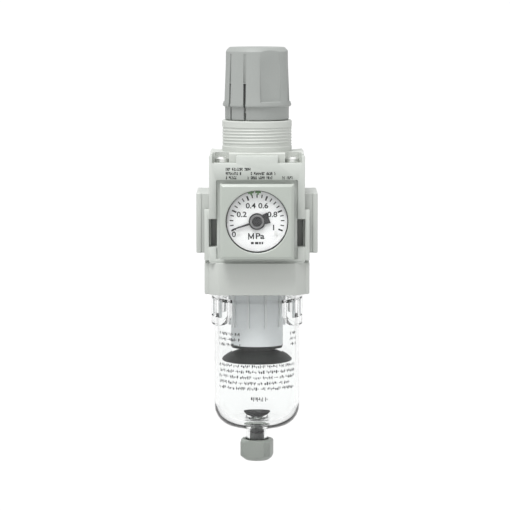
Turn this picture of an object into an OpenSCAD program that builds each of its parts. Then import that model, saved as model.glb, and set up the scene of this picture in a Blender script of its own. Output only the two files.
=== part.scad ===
// Modular filter regulator: a die-cast body with two side ports, an embedded
// square pressure gauge, a push-lock knob above and a clear filter bowl below.
// Millimetres. The origin is on the unit's vertical axis, at the panel seat where
// the bonnet's neck rises from its flange. +Z is up, the gauge faces -Y and the
// inlet port opens towards -X.

/* [Body and covers] */
// Width of the covers, side to side
body_w = 38; // [37.6:0.1:38.4]
// Depth over the front and rear covers
body_d = 38; // [37.6:0.1:38.4]
// Width of the collar that holds the bowl
collar_w = 41.8; // [41.6:0.1:42.2]
// Depth of the collar
collar_d = 41.2; // [41:0.1:41.6]
// Height of the collar's lower edge
collar_z0 = -56.3; // [-56.6:0.1:-56]

/* [Ports] */
// Distance between the two port faces
port_span = 48.4; // [48:0.1:49]
// Radius of the threaded port, at its gauge plane
port_r = 5.7; // [5.5:0.05:5.8]
// Depth of the port thread
port_depth = 11; // [10.6:0.1:11.2]
// Height of the port axis
port_z = -28; // [-28.3:0.1:-27.7]

/* [Bonnet and knob] */
// Radius of the panel-mounting neck
neck_r = 14; // [13.9:0.05:14]
// Height of the panel-mounting neck
neck_h = 12.4; // [12:0.1:12.4]
// Largest radius of the knob
knob_r = 13.75; // [13.6:0.05:13.8]
// Height of the knob's top face
knob_top = 41.6; // [41.4:0.1:42]
// How far the knob pulls up
knob_lift = 2.5; // [1.5:0.1:2.5]

/* [Pressure adjustment] */
// Radius of the adjusting screw's thread
screw_r = 3.9; // [3.7:0.05:4]
// Lead of the adjusting screw for one turn
screw_lead = 1.25; // [1:0.05:1.25]
// Mean radius of the regulating spring
spring_r = 6.6; // [6.3:0.05:6.8]
// Radius of the regulating spring's wire
spring_wire_r = 1; // [0.8:0.05:1.1]
// Number of turns in the regulating spring
spring_turns = 6; // [5:0.5:7]

/* [Bowl] */
// Outer radius of the bowl
bowl_r = 17.2; // [17.1:0.05:17.3]
// Thickness of the bowl's wall
bowl_wall = 1.6; // [1.5:0.05:1.7]
// Height of the bowl's flat underside
bowl_z0 = -112; // [-112.5:0.1:-111.8]
// Radius of the rounding between the bowl's wall and its underside
bowl_round = 8.6; // [8:0.1:9]
// Turn that unlocks the bowl
bowl_unlock = 45; // [45:1:45]

/* [Gauge] */
// Width of the gauge's square face
gauge_w = 29.2; // [29:0.1:29.4]
// Height of the gauge's square face
gauge_h = 29.8; // [29.6:0.1:30]
// Height of the gauge's centre
gauge_z = -26.3; // [-26.5:0.1:-26.1]
// Distance of the gauge's face from the unit's axis
gauge_front = 28; // [27.8:0.1:28.3]
// Radius of the gauge's window
window_r = 12.3; // [12.1:0.05:12.4]

/* [Hidden] */
$fn = 64;

run = 0.06;       // radial clearance of a running fit
seat = 0.05;      // gap where two still pieces lie against each other
through = 0.5;    // how far a cutting shape passes a face

// Covers and cast body
mid_d = 28.4;     // depth of the body between the two covers
cover_w_in = body_w - 3.2;
cover_top = -0.9;
cover_z0 = -43;
flange_t = 8;
diaphragm_t = 0.6;
deck_z = -flange_t - diaphragm_t;
collar_top = collar_z0 + 12.9;
collar_core_w = 38.6;
collar_chamfer = 4;
recess_w = 32.2;
recess_z1 = -10.6;
recess_z0 = -41.9;
recess_floor = 15.7;
side_window_z0 = -37.2;
side_window_z1 = -26;
side_window_x = 15.2;
pillar_z1 = -22.3;
pillar_front = 18;
lip_d = 28;
lip_neck_d = 25.2;
lip_t = 2.2;
port_h = 24;

// Air passages
chamber_top = -45;
socket_bore_r = bowl_r + 0.1;
pocket_r = 18.9;
pocket_z1 = -49.4;
ledge_r = 17.5;
ledge_z0 = -54.6;
ledge_z1 = -52.6;
ledge_angle = 44;
boss_r = 9.4;
boss_z0 = -49;
valve_chamber_r = 7.2;
valve_chamber_z1 = -33;
seat_bore_r = 6;
seat_z1 = -29;
outlet_r = 4.8;
outlet_z1 = -14;
stem_r = 1.5;
under_diaphragm_r = 11.2;
under_diaphragm_z0 = -11.5;
inlet_drop_x = -12.2;
inlet_drop_r = 2.6;

// Bonnet screws
screw_x = 14;
screw_y = 11.2;
screw_head_r = 2.6;
screw_floor = -3.9;
screw_shank_r = 1.5;
screw_end = -18;

// Bonnet tower and knob
tower_r = 10.4;
tower_bore = 8.8;
tower_top = 33;
roof_z = 30;
spring_room_r = 11.2;
spring_room_z1 = 9.5;
key_w = 2.4;
key_r = 9.5;
knob_z0 = neck_h + 0.2;
knob_skirt_r = 12.85;
knob_skirt_z1 = 17.8;
knob_bore = 11.4;
knob_chamfer = 1.7;
knob_roof = 36;
grip_count = 6;
grip_phase = -65;    // direction of the first grip, from +X
grip_w = 8.7;
grip_at = 12.15;
grip_z0 = 19.9;
tongue_angle = -128; // direction of the snap tongue, from +X
tongue_half = 16;
slit_w = 1.1;
slit_z1 = 27.3;
hex_af = 5.6;

// Adjusting screw train
nut_z0 = 19.4;
nut_t = 5;
nut_r = 8.5;
plate_z1 = -6.6;
screw_thread_z0 = 8;
screw_flange_z0 = 27.9;
screw_flange_z1 = 29.35;
screw_neck_r = 3;
screw_top = 39.4;

// Valve
lift_seat_z = -32.4;
rubber_z1 = lift_seat_z - seat;
rubber_z0 = -34.9;
poppet_r = 4.3;
poppet_z0 = -43;
guide_r = valve_chamber_r - seat;
guide_z1 = -38;
guide_cup_z0 = -46;
guide_flange_z0 = -50.5;
stud_r = 2.4;
stud_z0 = -84.6;

// Filter
element_r = 10.6;
element_bore = 7.6;
element_z1 = -53.2;
element_z0 = -79.2;
rib_count = 10;
rib_z0 = -70.6;
vane_count = 16;

// Bowl
bowl_in = bowl_r - bowl_wall;
spigot_r = socket_bore_r - 0.1;
spigot_in = 14.7;
spigot_z1 = -45.4;
groove_z0 = -48.3;
groove_z1 = -46.6;
groove_r = 15.85;
bowl_flange_r = 18.3;
bowl_flange_z1 = -55;
bowl_flange_z0 = -58.7;
lug_z0 = -52.3;
lug_z1 = -50.2;
lug_r = 18.6;
lug_angle = 40;
ear_r = 18.4;
ear_half = 14;
ear_z0 = -69.9;
nozzle_r = 4.35;
nozzle_z0 = -118.3;
nozzle_bore = 3;
floor_z = bowl_z0 + 2.6;

// Drain
drain_knob_z0 = -126;
drain_knob_z1 = -117.5;
drain_knob_af = 12.6;
drain_recess_z0 = -120.6;
drain_stem_r = nozzle_bore - run;
drain_stem_z1 = -107.4;
drain_bore = 1;
catch_z0 = -122.2;

// Gauge
bezel_t = 3.4;
bezel_lip = 0.7;
dial_y = -25.2;
dial_screw_x = 7.4;
dial_screw_z = -4.6;
pinion_teeth = 12;
sector_teeth = 40;
gear_module = 0.25;
gear_centres = gear_module * (pinion_teeth + sector_teeth) / 2;
sector_rest = 54;   // direction of the sector's middle at rest, four teeth from the mesh
tail_r = 1.6;
tube_tip = [8, -5.9];
pointer_rest = 198;
stop_angle = 202;
stop_r = 9.6;
arbor_r = 0.5;
case_r = 12;
case_y0 = -24.5;
case_y1 = -15.75;
case_floor = 17;    // depth of the case's inner back wall from the unit's axis
case_screw_x = 11.4;
case_screw_z = 11.6;
bourdon_r = 10.4;
front_plate_y = 24.15;
back_plate_y = 19.4;

// ---------------------------------------------------------------- shapes

// A disc or rod along Z between two heights
module rod(r, z0, z1) {
  translate([0, 0, z0]) cylinder(r = r, h = z1 - z0);
}

// A ring along Z between two heights
module ring(r_out, r_in, z0, z1) {
  difference() {
    rod(r_out, z0, z1);
    rod(r_in, z0 - through, z1 + through);
  }
}

// A block centred on the axis, between two heights
module block(w, d, z0, z1) {
  translate([-w / 2, -d / 2, z0]) cube([w, d, z1 - z0]);
}

// A block between two corners
module span(a, b) {
  translate(a) cube(b - a);
}

// An upright block with chamfered corners
module chamfered_block(w, d, c, z0, z1) {
  x = w / 2;
  y = d / 2;
  translate([0, 0, z0])
    linear_extrude(z1 - z0)
      polygon([
        [x - c, -y], [x, -y + c], [x, y - c], [x - c, y],
        [-x + c, y], [-x, y - c], [-x, -y + c], [-x + c, -y]
      ]);
}

// Part of a ring, centred on a direction
module arc_ring(r_out, r_in, z0, z1, at, angle) {
  rotate([0, 0, at - angle / 2])
    rotate_extrude(angle = angle)
      translate([r_in, z0]) square([r_out - r_in, z1 - z0]);
}

// A shape made along Z is laid along -Y at the gauge's centre: its z becomes -y
module at_gauge() {
  translate([0, 0, gauge_z]) rotate([90, 0, 0]) children();
}

// A rod along Y at the gauge's centre
module gauge_rod(r, y0, y1, x = 0, z = 0) {
  translate([x, y1, gauge_z + z]) rotate([90, 0, 0]) cylinder(r = r, h = y1 - y0);
}

// A rod along X between two places
module x_rod(r, x0, x1, z) {
  translate([x0, 0, z]) rotate([0, 90, 0]) cylinder(r = r, h = x1 - x0);
}

// An O-ring of round section about Z
module o_ring(r_mean, r_section, z) {
  translate([0, 0, z]) rotate_extrude() translate([r_mean, 0]) circle(r = r_section, $fn = 24);
}

// A round wire wound into a coil about Z
module coil(r, wire, z0, z1, turns, sides = 8, steps = 18) {
  count = round(turns * steps);
  lead = z1 - z0 - 2 * wire;
  rings = [
    for (i = [0:count])
      let (a = 360 * turns * i / count, z = z0 + wire + lead * i / count)
      [
        for (j = [0:sides - 1])
          let (b = 360 * j / sides, q = r + wire * cos(b))
          [q * cos(a), q * sin(a), z + wire * sin(b)]
      ]
  ];
  points = [for (one = rings) for (p = one) p];
  walls = [
    for (i = [0:count - 1]) for (j = [0:sides - 1])
      let (k = (j + 1) % sides)
      each [
        [i * sides + j, i * sides + k, (i + 1) * sides + k],
        [i * sides + j, (i + 1) * sides + k, (i + 1) * sides + j]
      ]
  ];
  first = [for (j = [sides - 1:-1:0]) j];
  last = [for (j = [0:sides - 1]) count * sides + j];
  polyhedron(points, concat([first], [for (w = walls) [w[0], w[2], w[1]]], [last]));
}

// One gear tooth outline, pointing along +X
function tooth(r, thin, m = gear_module) =
  let (
    root = r - 1.3 * m,
    tip = r + 0.95 * m,
    half = thin * m
  )
  [
    [root - 0.3, -1.35 * half], [root, -1.35 * half], [r, -half], [tip, -0.45 * half],
    [tip, 0.45 * half], [r, half], [root, 1.35 * half], [root - 0.3, 1.35 * half]
  ];

// ---------------------------------------------------------------- casing

module body_outside() {
  block(body_w, mid_d, collar_top - 0.1, -flange_t - seat);
  block(collar_core_w - 1.6, collar_d - 2.4, collar_top - 0.1, cover_z0 - seat);
  chamfered_block(collar_core_w, collar_d, collar_chamfer, collar_z0, collar_top);
  block(collar_w, collar_d - 8, collar_z0, collar_top);
  for (side = [0, 1])
    mirror([side, 0, 0]) {
      span([body_w / 2 - 1, -lip_neck_d / 2, port_z - port_h / 2],
           [port_span / 2 - 1, lip_neck_d / 2, port_z + port_h / 2]);
      span([port_span / 2 - lip_t, -lip_d / 2, port_z - port_h / 2],
           [port_span / 2, lip_d / 2, port_z + port_h / 2]);
    }
}

module bayonet_pocket() {
  difference() {
    rod(pocket_r, collar_z0 - through, pocket_z1);
    for (at = [0, 90, 180, 270])
      arc_ring(pocket_r + 1, ledge_r, ledge_z0, ledge_z1, at, ledge_angle);
  }
}

module air_passages() {
  // inlet: side port, then down to the chamber above the bowl
  x_rod(port_r, -port_span / 2 - through, -port_span / 2 + port_depth, port_z);
  x_rod(4, -port_span / 2 + port_depth - 1, -10.5, port_z);
  translate([inlet_drop_x, 0, 0]) rod(inlet_drop_r, chamber_top - 0.2, port_z);
  // outlet: valve seat, outlet chamber, side port
  rod(valve_chamber_r, boss_z0 - through, valve_chamber_z1);
  rod(seat_bore_r, valve_chamber_z1 - through, seat_z1);
  rod(outlet_r, seat_z1 - through, outlet_z1);
  span([3, -3, seat_z1 + 0.6], [port_span / 2 - port_depth + 1, 3, port_z + 5]);
  x_rod(port_r, port_span / 2 - port_depth, port_span / 2 + through, port_z);
  // stem guide, sensing hole and the chamber under the diaphragm
  rod(stem_r + run, outlet_z1 - through, deck_z);
  translate([4, 0, 0]) rod(0.8, outlet_z1 - through, under_diaphragm_z0 + through);
  rod(under_diaphragm_r, under_diaphragm_z0, deck_z + through);
  rod(13.5, deck_z, -flange_t);
  // front and rear gauge ports
  gauge_rod(1.2, -mid_d / 2, 0);
  gauge_rod(2.62, -mid_d / 2 - through, -9.6);
  gauge_rod(1.2, 0, mid_d / 2);
  gauge_rod(4.2, 9, mid_d / 2 + through);
}

module body() {
  color("lightgray")
    difference() {
      body_outside();
      difference() {
        rod(socket_bore_r, pocket_z1 - through, chamber_top);
        rod(boss_r, boss_z0, chamber_top + 1);
      }
      bayonet_pocket();
      air_passages();
      // pockets behind the covers' side windows
      for (sx = [0, 1], sy = [0, 1])
        mirror([sx, 0, 0]) mirror([0, sy, 0])
          span([side_window_x + 0.9, -mid_d / 2 - through, side_window_z0],
               [body_w / 2 - 0.6, -8.6, side_window_z1]);
      // holes for the bonnet screws
      for (x = [-screw_x, screw_x], y = [-screw_y, screw_y])
        translate([x, y, 0]) rod(screw_shank_r + seat, screw_end - 0.5, -flange_t + through);
    }
}

// The front and rear covers share their outline; each is drawn for the front
module cover_shell() {
  difference() {
    union() {
      span([-body_w / 2, -body_d / 2, cover_z0], [body_w / 2, -mid_d / 2 - 0.1, cover_top]);
      for (side = [0, 1])
        mirror([side, 0, 0])
          span([body_w / 2 - 1, -pillar_front, cover_z0 + 0.4],
               [collar_w / 2, -mid_d / 2 - 0.2, pillar_z1]);
    }
    // hollow behind the printed panel
    span([-cover_w_in / 2, -body_d / 2 + 1.8, recess_z1 + 1.2],
         [cover_w_in / 2, -mid_d / 2 + through, cover_top - 4.4]);
    // notches over the bonnet screws
    for (side = [0, 1])
      mirror([side, 0, 0])
        span([8.3, -body_d / 2 - through, screw_floor],
             [17.7, -mid_d / 2 + through, cover_top + through]);
    // side windows for the joining clamps
    for (side = [0, 1])
      mirror([side, 0, 0])
        span([side_window_x + 0.7, -body_d / 2 - through, side_window_z0],
             [body_w / 2, -mid_d / 2 + through, side_window_z1]);
  }
}

module front_cover() {
  color("gainsboro")
    difference() {
      cover_shell();
      // recess that holds the gauge
      span([-recess_w / 2, -body_d / 2 - through, recess_z0],
           [recess_w / 2, -recess_floor, recess_z1]);
      gauge_rod(3.2, -body_d / 2, -mid_d / 2 + through);
      for (x = [-case_screw_x, case_screw_x], z = [-case_screw_z, case_screw_z])
        gauge_rod(0.85, -body_d / 2, -mid_d / 2 + through, x, z);
    }
}

module rear_cover() {
  color("gainsboro")
    mirror([0, 1, 0])
      difference() {
        cover_shell();
        // weight-saving hollow behind the flat face
        span([-13.5, -body_d / 2 + 1.8, recess_z0], [13.5, -mid_d / 2 + through, recess_z1]);
        gauge_rod(6.4, -body_d / 2 - through, -mid_d / 2 + through);
      }
}

module bonnet() {
  color("gainsboro")
    difference() {
      union() {
        block(body_w - 0.8, mid_d, -flange_t, 0);
        rod(neck_r, -1, neck_h);
        rod(tower_r, neck_h - 1, tower_top);
        rod(tower_r + 0.6, 15.4, 16.2);
      }
      rod(spring_room_r, -flange_t - through, spring_room_z1);
      rod(tower_bore, spring_room_z1 - through, roof_z);
      rod(screw_neck_r + 0.1, roof_z - through, tower_top + through);
      // keyways of the spring nut
      for (a = [0, 180])
        rotate([0, 0, a])
          span([tower_bore - 1, -key_w / 2 - 0.1, spring_room_z1 - through],
               [key_r + 0.1, key_w / 2 + 0.1, nut_z0 + nut_t + 2]);
      for (x = [-screw_x, screw_x], y = [-screw_y, screw_y])
        translate([x, y, 0]) rod(screw_shank_r + 0.1, -flange_t - through, 0);
      // corner pockets for the screw heads
      for (sx = [0, 1], sy = [0, 1])
        mirror([sx, 0, 0]) mirror([0, sy, 0]) {
          span([screw_x, -mid_d, screw_floor], [17.7, -screw_y, through]);
          span([screw_x - screw_head_r - 0.2, -mid_d, screw_floor], [screw_x, -screw_y, through]);
          translate([screw_x, -screw_y, 0]) rod(screw_head_r + 0.2, screw_floor, through);
        }
      // breather hole
      translate([0, neck_r - 2, 4]) rotate([-90, 0, 0]) translate([0, 0, -4]) cylinder(r = 0.7, h = 8);
    }
}

// Four pan-head cross-recess screws
module bonnet_screws() {
  color("silver")
    for (x = [-screw_x, screw_x], y = [-screw_y, screw_y])
      translate([x, y, 0])
        difference() {
          union() {
            rod(screw_shank_r, screw_end, screw_floor + 0.3);
            rod(screw_head_r, screw_floor + seat, screw_floor + 1.5);
            translate([0, 0, screw_floor + 1.5])
              cylinder(r1 = screw_head_r, r2 = screw_head_r - 0.9, h = 0.7, $fn = 64);
          }
          for (turn = [20, 110])
            rotate([0, 0, turn]) block(2.9, 0.6, screw_floor + 1.1, screw_floor + 3);
        }
}

// ---------------------------------------------------------------- knob and adjustment

module knob_outside() {
  rotate_extrude()
    polygon([
      [0, knob_z0], [knob_skirt_r - 0.4, knob_z0], [knob_skirt_r, knob_z0 + 0.4],
      [knob_skirt_r, knob_skirt_z1], [knob_r, knob_skirt_z1 + 0.3], [knob_r, knob_skirt_z1 + 1.1],
      [knob_r - 0.25, knob_skirt_z1 + 1.7], [12.75, knob_top - knob_chamfer],
      [12.75 - knob_chamfer, knob_top], [0, knob_top]
    ]);
}

module knob() {
  color("darkgray")
    difference() {
      knob_outside();
      difference() {
        rod(knob_bore, knob_z0 - through, knob_roof);
        rod(5.4, tower_top + knob_lift - 1.3, knob_roof + 1);
      }
      // hexagon socket for the adjusting screw
      translate([0, 0, tower_top])
        cylinder(r = hex_af / sqrt(3) + 0.12, h = screw_top + 0.6 - tower_top, $fn = 6);
      // flat finger grips
      for (i = [0:grip_count - 1])
        if (i != grip_count - 1)
          rotate([0, 0, grip_phase + i * 360 / grip_count])
            span([grip_at, -grip_w / 2, grip_z0], [neck_r + 1, grip_w / 2, knob_top + 1]);
      // slits that free the snap tongue
      for (side = [-1, 1])
        rotate([0, 0, tongue_angle + side * tongue_half])
          span([knob_bore - 1.2, -slit_w / 2, knob_z0 - through], [neck_r + 1, slit_w / 2, slit_z1]);
    }
}

module adjusting_screw() {
  color("silver") {
    rod(screw_r, screw_thread_z0, screw_flange_z0 + 0.2);
    rod(6.4, screw_flange_z0, screw_flange_z1);
    rod(screw_neck_r, screw_flange_z1 - 0.2, tower_top + 0.08);
    rod(screw_neck_r - 0.5, tower_top, tower_top + 0.8);
    rod(screw_neck_r - 0.1, tower_top + 0.72, tower_top + 1.1);
    translate([0, 0, tower_top + 1])
      cylinder(r = hex_af / sqrt(3), h = screw_top - tower_top - 1, $fn = 6);
  }
}

// Snap ring that keeps the adjusting screw in the tower's roof
module screw_clip() {
  color("dimgray")
    arc_ring(4.9, screw_neck_r - 0.48, tower_top + 0.1, tower_top + 0.7, 90, 300);
}

module thrust_washer() {
  color("khaki") ring(6.6, screw_neck_r + run, screw_flange_z1 + seat, roof_z - seat);
}

module spring_nut() {
  color("goldenrod")
    difference() {
      union() {
        rod(nut_r, nut_z0, nut_z0 + nut_t);
        block(2 * key_r, key_w, nut_z0, nut_z0 + nut_t);
      }
      rod(screw_r + run, nut_z0 - through, nut_z0 + nut_t + through);
    }
}

module regulating_spring() {
  color("silver")
    coil(spring_r, spring_wire_r, plate_z1 + seat, nut_z0 - seat, spring_turns);
}

// ---------------------------------------------------------------- diaphragm and valve

// Rubber disc with one rolled convolution between the plate and the clamped rim
module diaphragm() {
  lo = deck_z + 0.02;
  hi = -flange_t - 0.02;
  color("dimgray")
    rotate_extrude()
      polygon([
        [2.1, lo], [9.2, lo], [9.6, lo - 0.7], [10.3, lo - 0.7], [10.7, lo], [13.4, lo],
        [13.4, hi], [10.3, hi], [10.1, lo - 0.15], [9.8, lo - 0.15], [9.6, hi], [2.1, hi]
      ]);
}

module diaphragm_plate() {
  color("silver") {
    rod(9, -flange_t + 0.02, plate_z1);
    ring(5, 4, plate_z1 - 0.1, plate_z1 + 2);
    rod(2, deck_z - 0.1, plate_z1);
  }
}

module diaphragm_retainer() {
  color("goldenrod")
    difference() {
      union() {
        rod(6, deck_z - 1.1, deck_z - 0.02);
        rod(2.6, deck_z - 1.4, deck_z - 1);
      }
      rod(2.05, deck_z - 0.12, deck_z + 1);
      rod(0.8, deck_z - 2, deck_z);
    }
}

module valve_seat() {
  color("goldenrod")
    difference() {
      union() {
        rod(seat_bore_r - 0.03, seat_z1 - 2.9, seat_z1 - seat);
        rod(4.3, lift_seat_z, seat_z1 - 1);
      }
      rod(3.6, lift_seat_z - through, seat_z1 + through);
    }
}

module valve_stem() {
  color("goldenrod")
    difference() {
      union() {
        rod(stem_r, rubber_z0 - 0.2, deck_z - 1.47);
        rod(4.9, rubber_z0 - 1, rubber_z0);
        rod(poppet_r, poppet_z0, rubber_z0 - 0.9);
      }
      rod(3.3, poppet_z0 - through, -37.5);
    }
}

module valve_rubber() {
  color("dimgray") ring(5.1, stem_r + 0.02, rubber_z0 + 0.02, rubber_z1);
}

module valve_spring() {
  color("silver") coil(2.7, 0.3, guide_cup_z0 + seat, -37.5 - seat, 7, 6, 14);
}

// Cup that guides the valve, with the long stud that carries the filter element
module valve_guide() {
  color("whitesmoke")
    difference() {
      union() {
        rod(guide_r, boss_z0 - 0.3, guide_z1);
        rod(boss_r, guide_flange_z0, boss_z0 - seat);
        rod(stud_r, stud_z0, guide_flange_z0 + 0.2);
      }
      rod(poppet_r + 0.08, guide_cup_z0, guide_z1 + through);
      for (a = [0:60:300])
        rotate([0, 0, a])
          translate([5.75, 0, 0]) rod(0.85, guide_flange_z0 - through, guide_z1 + through);
    }
}

// ---------------------------------------------------------------- filter

// Ring of slanted vanes that spins the incoming air, with ribs round the element's top
module deflector() {
  color("lightgray") {
    ring(element_r + 1.1, 7, element_z1 + seat, guide_flange_z0 - seat);
    ring(14.2, 13.4, -52.5, -50.6);
    for (i = [0:vane_count - 1])
      rotate([0, 0, i * 360 / vane_count])
        translate([(element_r + 14.2) / 2 + 0.1, 0, -51.6])
          rotate([35, 0, 0])
            cube([14.2 - element_r - 1.2, 0.5, 2.2], center = true);
    for (i = [0:rib_count - 1])
      rotate([0, 0, i * 360 / rib_count])
        span([element_r + 0.1, -0.4, rib_z0], [element_r + 1, 0.4, element_z1 + 0.3]);
  }
}

module filter_element() {
  color("white") ring(element_r, element_bore, element_z0 + 1.05, element_z1 - 0.9);
}

// Disc that closes the element's lower end
module element_cap() {
  color("whitesmoke") {
    ring(element_r - 0.1, stud_r + 0.1, element_z0, element_z0 + 1);
    ring(element_bore - 0.05, element_bore - 1, element_z0 + 0.9, element_z0 + 2.4);
  }
}

module element_gasket() {
  color("dimgray") ring(element_r - 0.3, element_bore + 0.2, element_z1 - 0.85, element_z1);
}

module baffle() {
  color("black")
    difference() {
      rotate_extrude()
        polygon([
          [0, element_z0 - 5.4], [7, element_z0 - 5.4], [13.4, -86], [14.2, -85.7], [14.2, -85.1],
          [10.6, -81.9], [7.2, -80.4], [7.2, element_z0 - seat], [0, element_z0 - seat]
        ]);
      rod(stud_r + 0.02, stud_z0 - 0.1, element_z0 + 1);
      // fins under the rim are left by cutting the underside away
      difference() {
        rod(12.4, -87, element_z0 - 5);
        for (a = [0:45:135]) rotate([0, 0, a]) block(26, 0.9, -87, element_z0 - 4);
        rod(4.2, -87, element_z0 - 4);
      }
    }
}

// ---------------------------------------------------------------- bowl and drain

module bowl_profile() {
  round_steps = 6;
  inner_round = bowl_round - bowl_wall;
  polygon(concat(
    [[nozzle_bore, nozzle_z0], [nozzle_r, nozzle_z0], [nozzle_r, bowl_z0]],
    [
      for (i = [0:round_steps])
        let (a = -90 + 90 * i / round_steps)
        [bowl_r - bowl_round + bowl_round * cos(a), bowl_z0 + bowl_round + bowl_round * sin(a)]
    ],
    [
      [bowl_r, bowl_flange_z0], [bowl_flange_r, bowl_flange_z0], [bowl_flange_r, bowl_flange_z1],
      [spigot_r, bowl_flange_z1], [spigot_r, groove_z0], [groove_r, groove_z0],
      [groove_r, groove_z1], [spigot_r, groove_z1], [spigot_r, spigot_z1 - 0.5],
      [spigot_r - 0.5, spigot_z1], [spigot_in, spigot_z1], [spigot_in, -59.2], [bowl_in, -60.4]
    ],
    [
      for (i = [round_steps:-1:0])
        let (a = -90 + 90 * i / round_steps)
        [bowl_in - inner_round + inner_round * cos(a), floor_z + inner_round + inner_round * sin(a)]
    ],
    [[4.6, floor_z], [3.9, floor_z + 0.8], [nozzle_bore, floor_z + 0.8]]
  ));
}

// U-shaped finger pads on both sides of the bowl's top
module bowl_ears() {
  corner = 4;
  for (side = [0, 180])
    rotate([0, 0, side])
      intersection() {
        ring(ear_r, bowl_r - 0.4, ear_z0 - 1, bowl_flange_z0 + 0.2);
        difference() {
          rotate([90, 0, 90])
            linear_extrude(ear_r + 2)
              polygon([
                [-ear_half, bowl_flange_z0 + 0.2], [-ear_half, ear_z0 + corner],
                [-ear_half + corner * 0.3, ear_z0 + corner * 0.3], [-ear_half + corner, ear_z0],
                [ear_half - corner, ear_z0], [ear_half - corner * 0.3, ear_z0 + corner * 0.3],
                [ear_half, ear_z0 + corner], [ear_half, bowl_flange_z0 + 0.2]
              ]);
          for (y = [-10.4, -5.2, 2.6, 7.8])
            span([0, y, ear_z0 + 3.4], [ear_r + 3, y + 2.6, bowl_flange_z0 - 0.8]);
        }
      }
}

module bowl() {
  color("azure", 0.4) {
    difference() {
      union() {
        rotate_extrude() bowl_profile();
        bowl_ears();
        for (at = [0, 90, 180, 270])
          arc_ring(lug_r, spigot_r - 0.3, lug_z0, lug_z1, at, lug_angle);
      }
    }
  }
}

module bowl_o_ring() {
  color("dimgray")
    o_ring((groove_r + socket_bore_r) / 2 - 0.02, (socket_bore_r - groove_r) / 2 - 0.05,
           (groove_z0 + groove_z1) / 2);
}

module drain_stem() {
  color("dimgray")
    difference() {
      union() {
        rod(drain_stem_r, drain_knob_z0 + 3, drain_stem_z1 - 1.2);
        rod(2, drain_stem_z1 - 1.3, drain_stem_z1 + 0.6);
        rod(drain_stem_r + 0.4, catch_z0, catch_z0 + 0.6);
      }
      // groove of the O-ring, outlet bore and its side hole
      ring(drain_stem_r + 1, drain_stem_r - 0.7, -115, -113.8);
      rod(drain_bore, drain_knob_z0, -110.6);
      translate([0, 0, -111.4]) rotate([0, 90, 0]) translate([0, 0, -4]) cylinder(r = 0.6, h = 8);
    }
}

// Rubber dish that closes the bowl's floor
module drain_seal() {
  color("black")
    difference() {
      rotate_extrude()
        polygon([
          [2, drain_stem_z1 - 0.8], [3.9, floor_z + 0.85], [4.6, floor_z + 0.85],
          [5.4, drain_stem_z1 + 0.1], [5.4, drain_stem_z1 + 0.7], [2, drain_stem_z1 + 0.7]
        ]);
      rod(2.02, drain_stem_z1 - 2, drain_stem_z1 + 2);
    }
}

module drain_o_ring() {
  color("black") o_ring(drain_stem_r - 0.31, 0.34, -114.4);
}

module drain_knob() {
  flat = drain_knob_af / 2;
  corner = 4.2;
  color("darkgray")
    difference() {
      intersection() {
        rotate([0, 0, -11])
          translate([0, 0, drain_knob_z0])
            linear_extrude(drain_knob_z1 - drain_knob_z0)
              polygon([
                [corner, -flat], [flat, -corner], [flat, corner], [corner, flat],
                [-corner, flat], [-flat, corner], [-flat, -corner], [-corner, -flat]
              ]);
        rotate_extrude()
          polygon([
            [0, drain_knob_z0], [4.6, drain_knob_z0], [6.9, drain_knob_z0 + 2],
            [6.9, drain_knob_z1 - 0.9], [5.9, drain_knob_z1], [0, drain_knob_z1]
          ]);
      }
      rod(4.75, drain_recess_z0, drain_knob_z1 + through);
      rod(drain_stem_r + 0.05, drain_knob_z0 + 2.95, drain_recess_z0 + through);
      rod(drain_stem_r + 0.5, catch_z0 - 0.1, catch_z0 + 0.7);
      rod(1.4, drain_knob_z0 - through, drain_knob_z0 + 3.1);
    }
}

// ---------------------------------------------------------------- rear plug

module rear_plug() {
  color("silver")
    difference() {
      union() {
        gauge_rod(4.14, 9.6, mid_d / 2 + 0.2);
        gauge_rod(6, mid_d / 2 + seat, 17.4);
      }
      translate([0, 14.4, gauge_z]) rotate([-90, 0, 0]) cylinder(r = 2.9, h = 6, $fn = 6);
      // groove of the sealing ring
      translate([0, 12.8, gauge_z]) rotate([-90, 0, 0]) ring(6, 3.3, 0, 1.2);
    }
}

module rear_plug_o_ring() {
  color("dimgray")
    translate([0, 13.4, gauge_z]) rotate([-90, 0, 0]) o_ring(3.74, 0.38, 0);
}

// ---------------------------------------------------------------- gauge

module gauge_bezel() {
  w = gauge_w / 2;
  h = gauge_h / 2;
  face = 1.1;
  color("silver")
    difference() {
      // the face is chamfered on all four sides
      intersection() {
        at_gauge()
          translate([0, 0, gauge_front - bezel_t])
            linear_extrude(bezel_t) square([gauge_w, gauge_h], center = true);
        translate([-w - 1, 0, gauge_z])
          rotate([90, 0, 90])
            linear_extrude(2 * w + 2)
              polygon([
                [-gauge_front, -h + face], [-gauge_front + face, -h], [-20, -h], [-20, h],
                [-gauge_front + face, h], [-gauge_front, h - face]
              ]);
        translate([0, 0, gauge_z - h - 1])
          linear_extrude(2 * h + 2)
            polygon([
              [-w + face, -gauge_front], [-w, -gauge_front + face], [-w, -20], [w, -20],
              [w, -gauge_front + face], [w - face, -gauge_front]
            ]);
      }
      gauge_rod(window_r, -gauge_front - through, -20);
      gauge_rod(window_r + 0.7, -gauge_front + bezel_lip, -20);
    }
}

module gauge_lens() {
  color("azure", 0.3) {
    gauge_rod(window_r + 0.5, -gauge_front + bezel_lip + seat, -gauge_front + 1.2);
    gauge_rod(window_r - seat, -gauge_front + 0.3, -gauge_front + 1.2);
  }
}

module lens_gasket() {
  color("dimgray")
    at_gauge() ring(window_r + 0.5, window_r - 0.15, -case_y0 + seat, gauge_front - 1.2 - seat);
}

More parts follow.
